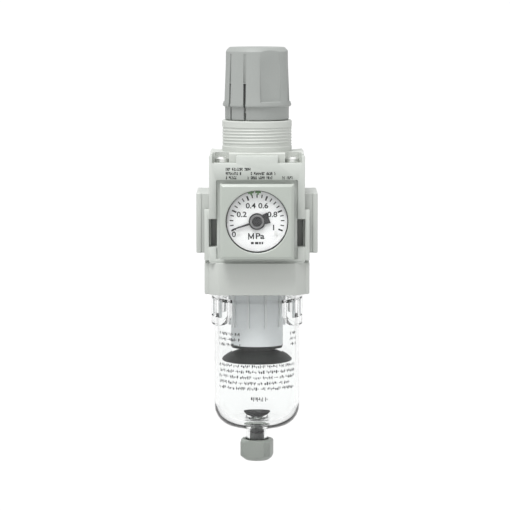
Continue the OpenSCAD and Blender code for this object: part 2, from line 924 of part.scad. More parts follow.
module gauge_case() {
  color("gray")
    difference() {
      at_gauge()
        translate([0, 0, -case_y1])
          linear_extrude(case_y1 - case_y0)
            square([gauge_w - 1.6, gauge_h - 1.6], center = true);
      gauge_rod(case_r, case_y0 - through, -case_floor);
      gauge_rod(2.55, case_y1 - 3, case_y1 + 1);
      for (x = [-case_screw_x, case_screw_x], z = [-case_screw_z, case_screw_z])
        gauge_rod(0.85, case_y0 - through, case_y1 + through, x, z);
    }
}

// Screws under the bezel that fasten the gauge's case to the front cover
module gauge_screws() {
  color("silver")
    for (x = [-case_screw_x, case_screw_x], z = [-case_screw_z, case_screw_z])
      gauge_rod(0.8, case_y0 + 0.2, -mid_d / 2 - 0.25, x, z);
}

module gauge_dial() {
  color("white")
    difference() {
      gauge_rod(case_r - 0.1, dial_y, dial_y + 0.4);
      gauge_rod(0.9, dial_y - through, dial_y + 1);
      for (x = [-dial_screw_x, dial_screw_x])
        gauge_rod(0.45, dial_y - through, dial_y + 1, x, dial_screw_z);
      gauge_rod(0.28, dial_y - through, dial_y + 1,
                stop_r * cos(stop_angle), stop_r * sin(stop_angle));
    }
}

module dial_screws() {
  color("silver")
    for (x = [-dial_screw_x, dial_screw_x]) {
      gauge_rod(0.42, dial_y - 0.05, dial_y + 1, x, dial_screw_z);
      gauge_rod(0.75, dial_y - 0.3, dial_y - 0.02, x, dial_screw_z);
    }
}

module zero_stop_pin() {
  color("silver")
    gauge_rod(0.26, dial_y - 0.5, dial_y + 0.38,
              stop_r * cos(stop_angle), stop_r * sin(stop_angle));
}

// Green set hands: an arc at the dial's edge with a short inward finger
module set_hand(at, y0) {
  translate([0, -y0, gauge_z])
    rotate([90, 0, 0]) {
      arc_ring(12.05, 11.3, 0, 0.25, at, 11);
      rotate([0, 0, at]) span([10.6, -0.3, 0], [11.5, 0.3, 0.25]);
    }
}

module set_hand_low() {
  color("green") set_hand(102, 25.4);
}

module set_hand_high() {
  color("green") set_hand(88, 25.75);
}

module pointer() {
  color("black")
    translate([0, dial_y - 0.45, gauge_z])
      rotate([90, 0, 0])
        rotate([0, 0, pointer_rest])
          difference() {
            union() {
              cylinder(r = 3.3, h = 0.35);
              cylinder(r = 1.9, h = 0.8);
              linear_extrude(0.35)
                polygon([
                  [2.5, -0.45], [10, -0.18], [10.4, 0], [10, 0.18], [2.5, 0.45],
                  [-2.5, 1.9], [-4.9, 2.2], [-4.9, -2.2], [-2.5, -1.9]
                ]);
            }
            translate([0, 0, -0.1]) cylinder(r = arbor_r - 0.1, h = 0.6);
          }
}

module pointer_arbor() {
  color("goldenrod")
    translate([0, 0, gauge_z])
      rotate([90, 0, 0]) {
        rod(arbor_r - 0.12, 24.7, 26);
        rod(arbor_r, 19.3, 24.8);
        translate([0, 0, 21])
          linear_extrude(1.8)
            union() {
              circle(r = gear_module * (pinion_teeth / 2 - 1.3));
              for (i = [0:pinion_teeth - 1])
                rotate(i * 360 / pinion_teeth)
                  polygon(tooth(gear_module * pinion_teeth / 2, 0.58));
            }
      }
}

// The sector's pivot is below the arbor; its teeth point up at it
module sector_gear() {
  pitch_r = gear_module * sector_teeth / 2;
  step = 360 / sector_teeth;
  half_teeth = 5;
  color("goldenrod")
    translate([0, 0, gauge_z - gear_centres])
      rotate([90, 0, 0])
        rotate([0, 0, sector_rest]) {
          translate([0, 0, 21.3])
            linear_extrude(1)
              union() {
                for (i = [-half_teeth:half_teeth - 1])
                  rotate((i + 0.5) * step) polygon(tooth(pitch_r, 0.58));
                intersection() {
                  difference() {
                    circle(r = pitch_r - 1.3 * gear_module);
                    circle(r = pitch_r - 1.9);
                  }
                  polygon([[0, 0], [7, -7 * tan(46)], [7, 7 * tan(46)]]);
                }
                polygon([[0, -0.7], [3.6, -0.5], [3.6, 0.5], [0, 0.7]]);
                circle(r = 1.1);
                // tail that the link pulls
                polygon([[0, 0.6], [-tail_r, 0.5], [-tail_r, -0.5], [0, -0.6]]);
                translate([-tail_r, 0]) circle(r = 0.5);
              }
          rod(0.45, 19.3, 24.7);
          translate([-tail_r, 0, 0]) rod(0.25, 21.4, 23.9);
        }
}

// Link between the sector's tail and the free end of the pressure tube
module gauge_link() {
  pin = [-tail_r * cos(sector_rest), -gear_centres - tail_r * sin(sector_rest)];
  reach = norm(tube_tip - pin);
  turn = atan2(tube_tip[1] - pin[1], tube_tip[0] - pin[0]);
  color("goldenrod")
    translate([0, 0, gauge_z])
      rotate([90, 0, 0])
        translate([pin[0], pin[1], 23.45])
          rotate([0, 0, turn])
            linear_extrude(0.35)
              difference() {
                union() {
                  circle(r = 0.5);
                  translate([reach, 0]) circle(r = 0.5);
                  translate([0, -0.25]) square([reach, 0.5]);
                }
                circle(r = 0.3);
                translate([reach, 0]) circle(r = 0.2);
              }
}

// C-shaped pressure tube
module bourdon_tube() {
  color("goldenrod")
    translate([0, 0, gauge_z])
      rotate([90, 0, 0])
        arc_ring(bourdon_r + 0.45, bourdon_r - 0.45, 20.4, 23.2, 98, 262);
}

// Brass socket: the pressure tube's root, and the spigot that enters the body
module gauge_socket() {
  color("goldenrod")
    difference() {
      union() {
        gauge_rod(2.5, -case_floor - 0.3, -10);
        translate([0, 0, gauge_z])
          rotate([90, 0, 0]) {
            translate([0, 0, case_floor + seat])
              linear_extrude(1.8)
                polygon([[-2.6, 2.6], [2.6, 2.6], [2.6, -2.6], [-4.2, -10.4], [-7.3, -8.4]]);
            arc_ring(11.2, 9.6, case_floor + 1, 23.4, 238.5, 18);
          }
      }
      gauge_rod(0.7, -case_floor - 1, -9);
      translate([0, -11.1, gauge_z]) rotate([90, 0, 0]) ring(3, 1.9, 0, 1.1);
    }
}

module gauge_o_ring() {
  color("dimgray")
    translate([0, -11.65, gauge_z]) rotate([90, 0, 0]) o_ring(2.26, 0.33, 0);
}

function pillar_places() = [[-5.2, 2.8], [5.2, 2.8], [5.2, -3.4], [-5.2, -5.8]];

// One plate of the gauge's movement, before the dial screws' holes
module movement_plate(y_near, half) {
  translate([0, 0, gauge_z])
    rotate([90, 0, 0])
      difference() {
        intersection() {
          translate([-half, -8.6, y_near]) cube([2 * half, 12.6, 0.6]);
          rod(11.4, y_near - 1, y_near + 1);
        }
        rod(arbor_r + 0.04, y_near - 1, y_near + 1);
        translate([0, -gear_centres, 0]) rod(0.49, y_near - 1, y_near + 1);
        for (at = pillar_places()) translate([at[0], at[1], 0]) rod(0.5, y_near - 1, y_near + 1);
        // room for the pressure tube and its root
        arc_ring(12.5, 9.3, y_near - 1, y_near + 1, 238.5, 26);
      }
}

module movement_front_plate() {
  color("goldenrod")
    difference() {
      movement_plate(front_plate_y, 8.6);
      for (x = [-dial_screw_x, dial_screw_x])
        gauge_rod(0.45, -front_plate_y - 1, -front_plate_y + 1, x, dial_screw_z);
    }
}

module movement_back_plate() {
  color("goldenrod") movement_plate(back_plate_y, 6.2);
}

module plate_pillars() {
  places = pillar_places();
  color("goldenrod")
    translate([0, 0, gauge_z])
      rotate([90, 0, 0])
        for (i = [0:3])
          translate([places[i][0], places[i][1], 0]) {
            rod(0.47, back_plate_y - 0.1, front_plate_y + 0.55);
            rod(0.85, back_plate_y + 0.62, front_plate_y - 0.02);
            rod(0.85, i == 3 ? case_floor + 1.87 : case_floor + 0.02, back_plate_y - 0.02);
          }
}

// Flat spiral spring round the arbor, between the back plate and the pinion
module hairspring() {
  turns = 3.5;
  steps = 12;
  count = turns * steps;
  inner = 0.75;
  pitch = 0.42;
  wall = 0.14;
  spiral = [
    for (i = [0:count])
      let (a = i * 360 / steps, r = inner + pitch * a / 360)
      [r * cos(a), r * sin(a)]
  ];
  outer = [
    for (i = [count:-1:0])
      let (a = i * 360 / steps, r = inner + wall + pitch * a / 360)
      [r * cos(a), r * sin(a)]
  ];
  color("goldenrod")
    translate([0, 0, gauge_z])
      rotate([90, 0, 0])
        translate([0, 0, 20.2])
          linear_extrude(0.3) polygon(concat(spiral, outer));
}

// ---------------------------------------------------------------- drawing

body();
front_cover();
rear_cover();
bonnet();
bonnet_screws();
knob();
adjusting_screw();
screw_clip();
thrust_washer();
spring_nut();
regulating_spring();
diaphragm();
diaphragm_plate();
diaphragm_retainer();
valve_seat();
valve_stem();
valve_rubber();
valve_spring();
valve_guide();
deflector();
filter_element();
element_gasket();
element_cap();
baffle();
bowl();
bowl_o_ring();
drain_stem();
drain_seal();
drain_o_ring();
drain_knob();
rear_plug();
rear_plug_o_ring();
gauge_bezel();
gauge_lens();
lens_gasket();
gauge_case();
gauge_screws();
gauge_dial();
dial_screws();
zero_stop_pin();
set_hand_low();
set_hand_high();
pointer();
pointer_arbor();
sector_gear();
gauge_link();
bourdon_tube();
gauge_socket();
gauge_o_ring();
movement_front_plate();
movement_back_plate();
plate_pillars();
hairspring();
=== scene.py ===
# %% [markdown]
# # A filter regulator, modelled piece by piece
# The real object hangs in a compressed-air line. Air enters at the left, is cleaned in the
# clear bowl, and leaves at the right at the pressure that the knob sets and the gauge shows.
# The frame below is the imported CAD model. Hidden parts keep their CAD shape and only get a
# finish; what can be seen is modelled again here, with rounded edges, threads and print.

# %% Load the frame
import math
import random

import bmesh
import bpy
from mathutils import Matrix, Vector


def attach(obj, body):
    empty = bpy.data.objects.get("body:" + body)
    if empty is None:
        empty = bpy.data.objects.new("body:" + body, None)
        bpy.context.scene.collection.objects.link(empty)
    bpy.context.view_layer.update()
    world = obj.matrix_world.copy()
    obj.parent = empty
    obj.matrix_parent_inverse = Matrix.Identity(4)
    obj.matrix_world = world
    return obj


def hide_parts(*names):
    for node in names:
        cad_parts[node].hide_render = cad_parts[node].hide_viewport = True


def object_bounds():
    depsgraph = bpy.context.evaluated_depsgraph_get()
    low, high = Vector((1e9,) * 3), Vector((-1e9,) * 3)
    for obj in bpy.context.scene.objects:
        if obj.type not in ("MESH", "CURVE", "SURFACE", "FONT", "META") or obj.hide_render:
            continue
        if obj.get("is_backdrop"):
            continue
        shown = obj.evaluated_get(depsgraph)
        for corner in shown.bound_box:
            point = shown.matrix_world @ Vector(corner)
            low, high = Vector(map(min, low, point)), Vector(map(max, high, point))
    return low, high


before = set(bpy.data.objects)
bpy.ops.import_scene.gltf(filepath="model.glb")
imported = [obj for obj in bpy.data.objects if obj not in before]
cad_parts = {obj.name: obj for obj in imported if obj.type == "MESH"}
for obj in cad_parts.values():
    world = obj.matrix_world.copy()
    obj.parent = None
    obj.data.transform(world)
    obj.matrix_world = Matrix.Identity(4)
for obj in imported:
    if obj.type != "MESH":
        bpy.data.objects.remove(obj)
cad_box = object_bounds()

MM = 0.001
ROOM = 300.0  # side of the floor, in metres
FLOOR_LEVEL = -0.30  # metres below the origin
print("CAD nodes:", len(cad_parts))
print("CAD box, mm:", [tuple(round(v / MM, 1) for v in corner) for corner in cad_box])

# %% [markdown]
# ## Small tools
# Blender's operators act on whatever is selected, and the imported frame arrives selected.
# So every helper starts by clearing the selection, and works in millimetres, because that is
# how a drawing of this object would be dimensioned.

# %% Selection helpers
def clear_selection():
    if bpy.context.object and bpy.context.object.mode != "OBJECT":
        bpy.ops.object.mode_set(mode="OBJECT")
    bpy.ops.object.select_all(action="DESELECT")


def pick(piece):
    clear_selection()
    piece.select_set(True)
    bpy.context.view_layer.objects.active = piece
    return piece


def settle(piece):
    """Moves the piece's place, turn and scale into its mesh."""
    pick(piece)
    bpy.ops.object.transform_apply(location=True, rotation=True, scale=True)
    return piece


def edit_selected(piece, face_test=None, edge_test=None):
    """Opens edit mode with only the faces or edges chosen by a test, given their middle in mm."""
    pick(piece)
    bpy.ops.object.mode_set(mode="EDIT")
    bpy.ops.mesh.select_mode(type="FACE" if face_test else "EDGE")
    bpy.ops.mesh.select_all(action="DESELECT")
    mesh = bmesh.from_edit_mesh(piece.data)
    if face_test:
        for face in mesh.faces:
            if face_test(face.calc_center_median() / MM, face.normal):
                face.select_set(True)
    if edge_test:
        for edge in mesh.edges:
            a, b = (v.co / MM for v in edge.verts)
            if edge_test((a + b) / 2, (b - a).normalized()):
                edge.select_set(True)
    bmesh.update_edit_mesh(piece.data)


# %% [markdown]
# ## Starting shapes
# A block and a rod are Blender's primitives at their finished size. A turned shape, such as a
# knob or a bowl, starts as one point that is extruded along its outline and then spun round
# the axis, which is how a lathe or a round mould makes it.

# %% Blocks, rods and turned shapes
def block(name, low, high):
    clear_selection()
    low, high = Vector(low) * MM, Vector(high) * MM
    bpy.ops.mesh.primitive_cube_add(size=1, location=(low + high) / 2)
    piece = bpy.context.object
    piece.name = piece.data.name = name
    piece.scale = high - low
    return settle(piece)


def rod(name, radius, start, end, sides=64, axis="Z"):
    """A rod along an axis, from start to end; the other two coordinates are the start's."""
    clear_selection()
    start, end = Vector(start) * MM, Vector(end) * MM
    turn = {"X": (0, math.pi / 2, 0), "Y": (math.pi / 2, 0, 0), "Z": (0, 0, 0)}[axis]
    bpy.ops.mesh.primitive_cylinder_add(
        vertices=sides, radius=radius * MM, depth=(end - start).length,
        location=(start + end) / 2, rotation=turn)
    piece = bpy.context.object
    piece.name = piece.data.name = name
    return settle(piece)


def turned(name, outline, steps=72, closed=True):
    """Spins an outline of (radius, height) points round Z. A closed outline joins its ends."""
    clear_selection()
    bpy.ops.mesh.primitive_plane_add(size=MM)
    piece = bpy.context.object
    piece.name = piece.data.name = name
    bpy.ops.object.mode_set(mode="EDIT")
    bpy.ops.mesh.select_mode(type="VERT")
    bpy.ops.mesh.select_all(action="SELECT")
    bpy.ops.mesh.merge(type="CENTER")
    points = [Vector((r, 0, z)) * MM for r, z in outline]
    bpy.ops.transform.translate(value=points[0])
    for here, there in zip(points, points[1:]):
        bpy.ops.mesh.extrude_region_move(TRANSFORM_OT_translate={"value": there - here})
    if closed:
        bpy.ops.mesh.extrude_region_move(TRANSFORM_OT_translate={"value": points[0] - points[-1]})
    bpy.ops.mesh.select_all(action="SELECT")
    bpy.ops.mesh.remove_doubles(threshold=1e-6)
    bpy.ops.mesh.select_all(action="SELECT")
    bpy.ops.mesh.spin(steps=steps, angle=math.tau, center=(0, 0, 0), axis=(0, 0, 1))
    bpy.ops.mesh.select_all(action="SELECT")
    bpy.ops.mesh.remove_doubles(threshold=2e-6)
    bpy.ops.mesh.dissolve_degenerate(threshold=1e-6)
    bpy.ops.mesh.select_all(action="SELECT")
    bpy.ops.mesh.normals_make_consistent(inside=False)
    bpy.ops.object.mode_set(mode="OBJECT")
    return piece


# %% [markdown]
# ## Cutting, joining and rounding
# Bores, slots and windows are cut with a second shape and a Boolean modifier. A moulded or
# cast part has no knife-sharp edges, so a Bevel modifier then rounds every edge that turns by
# more than an angle. The coplanar leftovers of a cut are dissolved first, or they would pinch
# the bevel.

# %% Cut, join, soften
def apply_modifier(piece, kind, **settings):
    pick(piece)
    modifier = piece.modifiers.new(kind.lower(), kind)
    for key, value in settings.items():
        setattr(modifier, key, value)
    bpy.ops.object.modifier_apply(modifier=modifier.name)


def combine(piece, others, operation):
    for other in others:
        apply_modifier(piece, "BOOLEAN", object=other, operation=operation, solver="EXACT")
        bpy.data.objects.remove(other)
    return piece


def cut(piece, *cutters):
    return combine(piece, cutters, "DIFFERENCE")


def weld(piece, *others):
    return combine(piece, others, "UNION")


def soften(piece, width, segments=2, angle=32, tidy=True):
    pick(piece)
    if tidy:
        bpy.ops.object.mode_set(mode="EDIT")
        bpy.ops.mesh.select_all(action="SELECT")
        bpy.ops.mesh.remove_doubles(threshold=4e-6)
        bpy.ops.mesh.dissolve_limited(angle_limit=math.radians(0.4))
        bpy.ops.object.mode_set(mode="OBJECT")
    apply_modifier(
        piece, "BEVEL", width=width * MM, segments=segments, limit_method="ANGLE",
        angle_limit=math.radians(angle), use_clamp_overlap=False, miter_outer="MITER_ARC")
    return piece


def copy_of(piece, name):
    twin = piece.copy()
    twin.data = piece.data.copy()
    twin.name = twin.data.name = name
    bpy.context.scene.collection.objects.link(twin)
    return twin


def open_whole(piece):
    """Opens a piece in edit mode with all of it selected."""
    pick(piece)
    bpy.ops.object.mode_set(mode="EDIT")
    bpy.ops.mesh.select_all(action="SELECT")


def turn_about(piece, degrees, axis="Z", centre=(0, 0, 0)):
    """Turns a piece about a point, by the right-hand rule, inside its mesh."""
    open_whole(piece)
    bpy.ops.transform.rotate(
        value=-math.radians(degrees), orient_axis=axis, center_override=Vector(centre) * MM)
    bpy.ops.object.mode_set(mode="OBJECT")
    return piece


def raised(piece, height):
    """Moves a piece up or down inside its mesh."""
    open_whole(piece)
    bpy.ops.transform.translate(value=(0, 0, height * MM))
    bpy.ops.object.mode_set(mode="OBJECT")
    return piece


def flipped(piece, axis):
    """Mirrors a piece across the plane through the origin, and turns its faces out again."""
    piece.scale["XYZ".index(axis)] = -1
    open_whole(settle(piece))
    bpy.ops.mesh.normals_make_consistent(inside=False)
    bpy.ops.object.mode_set(mode="OBJECT")
    return piece


def hand_over(piece, finish, body, slot, *stands_for, smooth=34):
    """Gives a finished piece its material and its body, and hides the CAD nodes that it stands for.
    """
    pick(piece)
    bpy.ops.object.shade_smooth_by_angle(angle=math.radians(smooth))
    piece.data.materials.clear()
    piece.data.materials.append(finish)
    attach(piece, body)
    if stands_for:
        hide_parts(*stands_for)
    print(f"{piece.name}: {len(piece.data.polygons)} faces")
    return piece

# %% [markdown]
# ## Effects that several finishes share
# Moulded plastic has a fine eroded grain and is never quite one colour. Handled parts carry
# faint smudges that change the gloss more than the colour. Turned metal has rings round its
# axis. Each effect is one node group with its own inputs, so that every material can use it
# at its own scale. A group here only gives heights, masks and tones.

# %% Node tools
def node_group(name, inputs, outputs):
    group = bpy.data.node_groups.new(name, "ShaderNodeTree")
    for label, kind, value in inputs:
        socket = group.interface.new_socket(label, in_out="INPUT", socket_type=kind)
        if value is not None:
            socket.default_value = value
    for label in outputs:
        group.interface.new_socket(label, in_out="OUTPUT", socket_type="NodeSocketFloat")
    return group, group.nodes.new("NodeGroupInput"), group.nodes.new("NodeGroupOutput")


def add_node(tree, kind, links=(), **settings):
    """Adds a node; settings name its properties, links pair an input with a value or a socket."""
    node = tree.nodes.new(kind)
    for key, value in settings.items():
        setattr(node, key, value)
    for key, value in links:
        if isinstance(value, bpy.types.NodeSocket):
            tree.links.new(value, node.inputs[key])
        else:
            node.inputs[key].default_value = value
    return node


def maths(tree, operation, a, b=0.0, c=0.0):
    node = add_node(tree, "ShaderNodeMath", ((0, a), (1, b), (2, c)), operation=operation)
    return node.outputs[0]


def stretch(tree, value, from_low, from_high, to_low, to_high):
    return add_node(tree, "ShaderNodeMapRange", (
        ("Value", value), ("From Min", from_low), ("From Max", from_high),
        ("To Min", to_low), ("To Max", to_high))).outputs["Result"]


# %% Moulded grain: pebbly height and a soft change of tone
grain, g_in, g_out = node_group(
    "moulded_grain",
    (("Vector", "NodeSocketVector", None), ("Grain per metre", "NodeSocketFloat", 2600.0)),
    ("Height", "Tone"))
cells = add_node(grain, "ShaderNodeTexVoronoi", (
    ("Vector", g_in.outputs["Vector"]), ("Scale", g_in.outputs["Grain per metre"])),
    feature="SMOOTH_F1")
fuzz = add_node(grain, "ShaderNodeTexNoise", (
    ("Vector", g_in.outputs["Vector"]), ("Scale", g_in.outputs["Grain per metre"]),
    ("Detail", 3.0), ("Roughness", 0.6)))
height = maths(grain, "MULTIPLY_ADD", cells.outputs["Distance"], 0.6, fuzz.outputs["Fac"])
clouds = add_node(grain, "ShaderNodeTexNoise", (
    ("Vector", g_in.outputs["Vector"]), ("Scale", 55.0), ("Detail", 4.0), ("Roughness", 0.55)))
speck = maths(grain, "MULTIPLY_ADD", fuzz.outputs["Fac"], 0.35, clouds.outputs["Fac"])
grain.links.new(height, g_out.inputs["Height"])
grain.links.new(stretch(grain, speck, 0.45, 0.95, 0.0, 1.0), g_out.inputs["Tone"])

# %% Handling: smudges and a few hair-fine scuffs
handling, h_in, h_out = node_group(
    "handling_marks", (("Vector", "NodeSocketVector", None),), ("Smudge", "Scuff"))
smudge = add_node(handling, "ShaderNodeTexNoise", (
    ("Vector", h_in.outputs["Vector"]), ("Scale", 90.0), ("Detail", 5.0), ("Distortion", 0.8)))
drawn_out = add_node(handling, "ShaderNodeMapping", (
    ("Vector", h_in.outputs["Vector"]), ("Rotation", (0.3, 0.2, 0.9)), ("Scale", (9.0, 1.0, 1.0))))
hairs = add_node(handling, "ShaderNodeTexNoise", (
    ("Vector", drawn_out.outputs["Vector"]), ("Scale", 420.0), ("Detail", 2.0)))
handling.links.new(
    stretch(handling, smudge.outputs["Fac"], 0.42, 0.68, 0.0, 1.0), h_out.inputs["Smudge"])
handling.links.new(
    stretch(handling, hairs.outputs["Fac"], 0.68, 0.74, 0.0, 1.0), h_out.inputs["Scuff"])

# %% Turning rings round the vertical axis, for machined parts
rings, r_in, r_out = node_group(
    "turning_rings",
    (("Vector", "NodeSocketVector", None), ("Rings per metre", "NodeSocketFloat", 3500.0)),
    ("Height",))
parts = add_node(rings, "ShaderNodeSeparateXYZ", (("Vector", r_in.outputs["Vector"]),))
radius = maths(rings, "SQRT", maths(rings, "ADD", maths(
    rings, "MULTIPLY", parts.outputs["X"], parts.outputs["X"]), maths(
    rings, "MULTIPLY", parts.outputs["Y"], parts.outputs["Y"])))
along = maths(rings, "ADD", radius, parts.outputs["Z"])
line = maths(rings, "SINE", maths(rings, "MULTIPLY", along, maths(
    rings, "MULTIPLY", r_in.outputs["Rings per metre"], math.tau)))
rings.links.new(line, r_out.inputs["Height"])

# %% [markdown]
# Printed wording is only hinted at, as it would be in a technical model: rows of broken bars
# with gaps, which read as small print from a distance and spell nothing up close. The group
# works on two coordinates, counts rows and slots, and lets a random number per slot decide
# whether a bar is there, and another per cell which parts of it took the ink.

# %% Rows of plain printed bars
small_print, p_in, p_out = node_group(
    "printed_bars",
    (("Across", "NodeSocketFloat", 0.0), ("Up", "NodeSocketFloat", 0.0),
     ("Slot width", "NodeSocketFloat", 0.0009), ("Row pitch", "NodeSocketFloat", 0.0018),
     ("Row fill", "NodeSocketFloat", 0.55)),
    ("Mask",))
across, up = p_in.outputs["Across"], p_in.outputs["Up"]
slot = maths(small_print, "DIVIDE", across, p_in.outputs["Slot width"])
row = maths(small_print, "DIVIDE", up, p_in.outputs["Row pitch"])
place = add_node(small_print, "ShaderNodeCombineXYZ", (
    ("X", maths(small_print, "FLOOR", slot)), ("Y", maths(small_print, "FLOOR", row))))
chance = add_node(
    small_print, "ShaderNodeTexWhiteNoise", (("Vector", place.outputs["Vector"]),),
    noise_dimensions="3D")
shown = maths(small_print, "GREATER_THAN", chance.outputs["Value"], 0.22)
in_slot = maths(small_print, "LESS_THAN", maths(small_print, "FRACT", slot), 0.86)
in_row = maths(small_print, "LESS_THAN", maths(small_print, "FRACT", row), p_in.outputs["Row fill"])
cell = add_node(small_print, "ShaderNodeCombineXYZ", (
    ("X", maths(small_print, "FLOOR", maths(small_print, "MULTIPLY", slot, 3.5))),
    ("Y", maths(small_print, "FLOOR", maths(small_print, "MULTIPLY", row, 4.2)))))
speckle = add_node(
    small_print, "ShaderNodeTexWhiteNoise", (("Vector", cell.outputs["Vector"]),),
    noise_dimensions="3D")
inked = maths(small_print, "GREATER_THAN", speckle.outputs["Value"], 0.30)
whole = maths(small_print, "MULTIPLY", shown, maths(small_print, "MULTIPLY", in_slot, in_row))
small_print.links.new(maths(small_print, "MULTIPLY", whole, inked), p_out.inputs["Mask"])

# %% [markdown]
# ## One recipe for every opaque finish
# A finish is a Principled shader whose colour drifts between two close tones, whose gloss is
# broken by smudges, and whose surface has a real grain. Numbers that are the same all over,
# such as the clear coat, are typed straight into the shader.

# %% Finish recipe
def finish(name, tone_a, tone_b, roughness, grain_scale=2600.0, grain_depth=0.02, metal=0.0,
           coat=0.0, smudges=0.08, scuffs=0.0, turned_depth=0.0, sheen=0.0, specular=0.5):
    material = bpy.data.materials.new(name)
    material.use_nodes = True
    tree = material.node_tree
    shader = tree.nodes["Principled BSDF"]
    shader.inputs["Metallic"].default_value = metal
    shader.inputs["Coat Weight"].default_value = coat
    shader.inputs["Coat Roughness"].default_value = 0.12
    shader.inputs["Specular IOR Level"].default_value = specular
    shader.inputs["Sheen Weight"].default_value = sheen
    where = add_node(tree, "ShaderNodeTexCoord").outputs["Object"]
    texture = add_node(tree, "ShaderNodeGroup", node_tree=grain)
    tree.links.new(where, texture.inputs["Vector"])
    texture.inputs["Grain per metre"].default_value = grain_scale
    marks = add_node(tree, "ShaderNodeGroup", node_tree=handling)
    tree.links.new(where, marks.inputs["Vector"])
    colour = add_node(tree, "ShaderNodeMix", (
        ("Factor", texture.outputs["Tone"]), (6, (*tone_a, 1)), (7, (*tone_b, 1))),
        data_type="RGBA")
    base = colour.outputs[2]
    if scuffs:
        lighter = tuple(min(1.0, v * 1.25 + 0.02) for v in tone_b)
        amount = maths(tree, "MULTIPLY", marks.outputs["Scuff"], scuffs)
        base = add_node(tree, "ShaderNodeMix", (
            ("Factor", amount), (6, base), (7, (*lighter, 1))), data_type="RGBA").outputs[2]
    tree.links.new(base, shader.inputs["Base Color"])
    gloss = maths(tree, "MULTIPLY_ADD", marks.outputs["Smudge"], smudges, roughness)
    tree.links.new(gloss, shader.inputs["Roughness"])
    height = maths(tree, "MULTIPLY", texture.outputs["Height"], grain_depth)
    if turned_depth:
        lathe = add_node(tree, "ShaderNodeGroup", node_tree=rings)
        tree.links.new(where, lathe.inputs["Vector"])
        height = maths(tree, "MULTIPLY_ADD", lathe.outputs["Height"], turned_depth, height)
    bump = add_node(tree, "ShaderNodeBump", (
        ("Height", height), ("Distance", MM), ("Strength", 1.0)))
    tree.links.new(bump.outputs["Normal"], shader.inputs["Normal"])
    return material


def print_on(material, ink, boxes, slot_width, row_pitch, row_fill):
    """Adds rows of printed bars to a finish, inside (x low, x high, z low, z high) boxes in mm."""
    tree = material.node_tree
    shader = tree.nodes["Principled BSDF"]
    where = add_node(tree, "ShaderNodeTexCoord").outputs["Object"]
    xyz = add_node(tree, "ShaderNodeSeparateXYZ", (("Vector", where),))
    bars = add_node(tree, "ShaderNodeGroup", (
        ("Across", xyz.outputs["X"]), ("Up", xyz.outputs["Z"]), ("Slot width", slot_width * MM),
        ("Row pitch", row_pitch * MM), ("Row fill", row_fill)), node_tree=small_print)
    inside = 0.0
    for x0, x1, z0, z1 in boxes:
        edges = [maths(tree, "GREATER_THAN", xyz.outputs["X"], x0 * MM),
                 maths(tree, "LESS_THAN", xyz.outputs["X"], x1 * MM),
                 maths(tree, "GREATER_THAN", xyz.outputs["Z"], z0 * MM),
                 maths(tree, "LESS_THAN", xyz.outputs["Z"], z1 * MM)]
        box = edges[0]
        for edge in edges[1:]:
            box = maths(tree, "MULTIPLY", box, edge)
        inside = maths(tree, "MAXIMUM", box, inside)
    front = maths(tree, "LESS_THAN", xyz.outputs["Y"], -18.5 * MM)
    mask = maths(tree, "MULTIPLY", maths(tree, "MULTIPLY", bars.outputs["Mask"], inside), front)
    old = shader.inputs["Base Color"].links[0].from_socket
    mixed = add_node(tree, "ShaderNodeMix", (
        ("Factor", mask), (6, old), (7, (*ink, 1))), data_type="RGBA")
    tree.links.new(mixed.outputs[2], shader.inputs["Base Color"])


# %% The finishes of this object
cast_paint = finish("cast_paint", (0.455, 0.475, 0.450), (0.475, 0.495, 0.470), 0.40, 1500, 0.012,
                    coat=0.12, smudges=0.10, scuffs=0.25)
panel_plastic = finish("panel_plastic", (0.500, 0.525, 0.495), (0.520, 0.545, 0.515), 0.44, 3000,
                       0.012, smudges=0.08, scuffs=0.12)
bonnet_plastic = finish("bonnet_plastic", (0.500, 0.520, 0.490), (0.520, 0.540, 0.510), 0.46, 3000,
                        0.014, smudges=0.08, scuffs=0.12)
knob_plastic = finish("knob_plastic", (0.285, 0.300, 0.288), (0.305, 0.320, 0.308), 0.45, 2600,
                      0.018, smudges=0.10, scuffs=0.15)
zinc_plate = finish("zinc_plate", (0.80, 0.81, 0.80), (0.88, 0.88, 0.86), 0.34, 1800, 0.004,
                    metal=1.0, smudges=0.16, scuffs=0.3)
spring_wire = finish("spring_wire", (0.42, 0.42, 0.43), (0.52, 0.52, 0.52), 0.30, 1600, 0.004,
                     metal=1.0, smudges=0.15)
turned_brass = finish("turned_brass", (0.68, 0.48, 0.20), (0.78, 0.58, 0.28), 0.26, 1500, 0.003,
                      metal=1.0, smudges=0.18, turned_depth=0.002)
black_rubber = finish("black_rubber", (0.010, 0.010, 0.011), (0.020, 0.020, 0.021), 0.66, 2200,
                      0.02, smudges=0.12, specular=0.25)
white_acetal = finish("white_acetal", (0.80, 0.82, 0.82), (0.85, 0.87, 0.87), 0.36, 1800, 0.006)
black_acetal = finish("black_acetal", (0.006, 0.008, 0.007), (0.012, 0.015, 0.013), 0.48, 1800,
                      0.008, smudges=0.10, specular=0.1)
drain_plastic = finish("drain_plastic", (0.215, 0.235, 0.215), (0.240, 0.258, 0.238), 0.42, 2600,
                       0.018, smudges=0.10, scuffs=0.2)
dark_plastic = finish("dark_plastic", (0.045, 0.048, 0.046), (0.060, 0.064, 0.061), 0.40, 2200,
                      0.010)
bezel_plastic = finish("bezel_plastic", (0.385, 0.415, 0.380), (0.405, 0.435, 0.400), 0.36, 3000,
                       0.008, coat=0.1, smudges=0.10, scuffs=0.15)
case_plastic = finish("case_plastic", (0.36, 0.38, 0.36), (0.39, 0.41, 0.39), 0.46, 2600, 0.015)
dial_white = finish("dial_white", (0.88, 0.885, 0.88), (0.91, 0.915, 0.91), 0.50, 2200, 0.003)
print_black = finish("print_black", (0.012, 0.012, 0.012), (0.022, 0.022, 0.022), 0.55, 2600,
                     0.004)
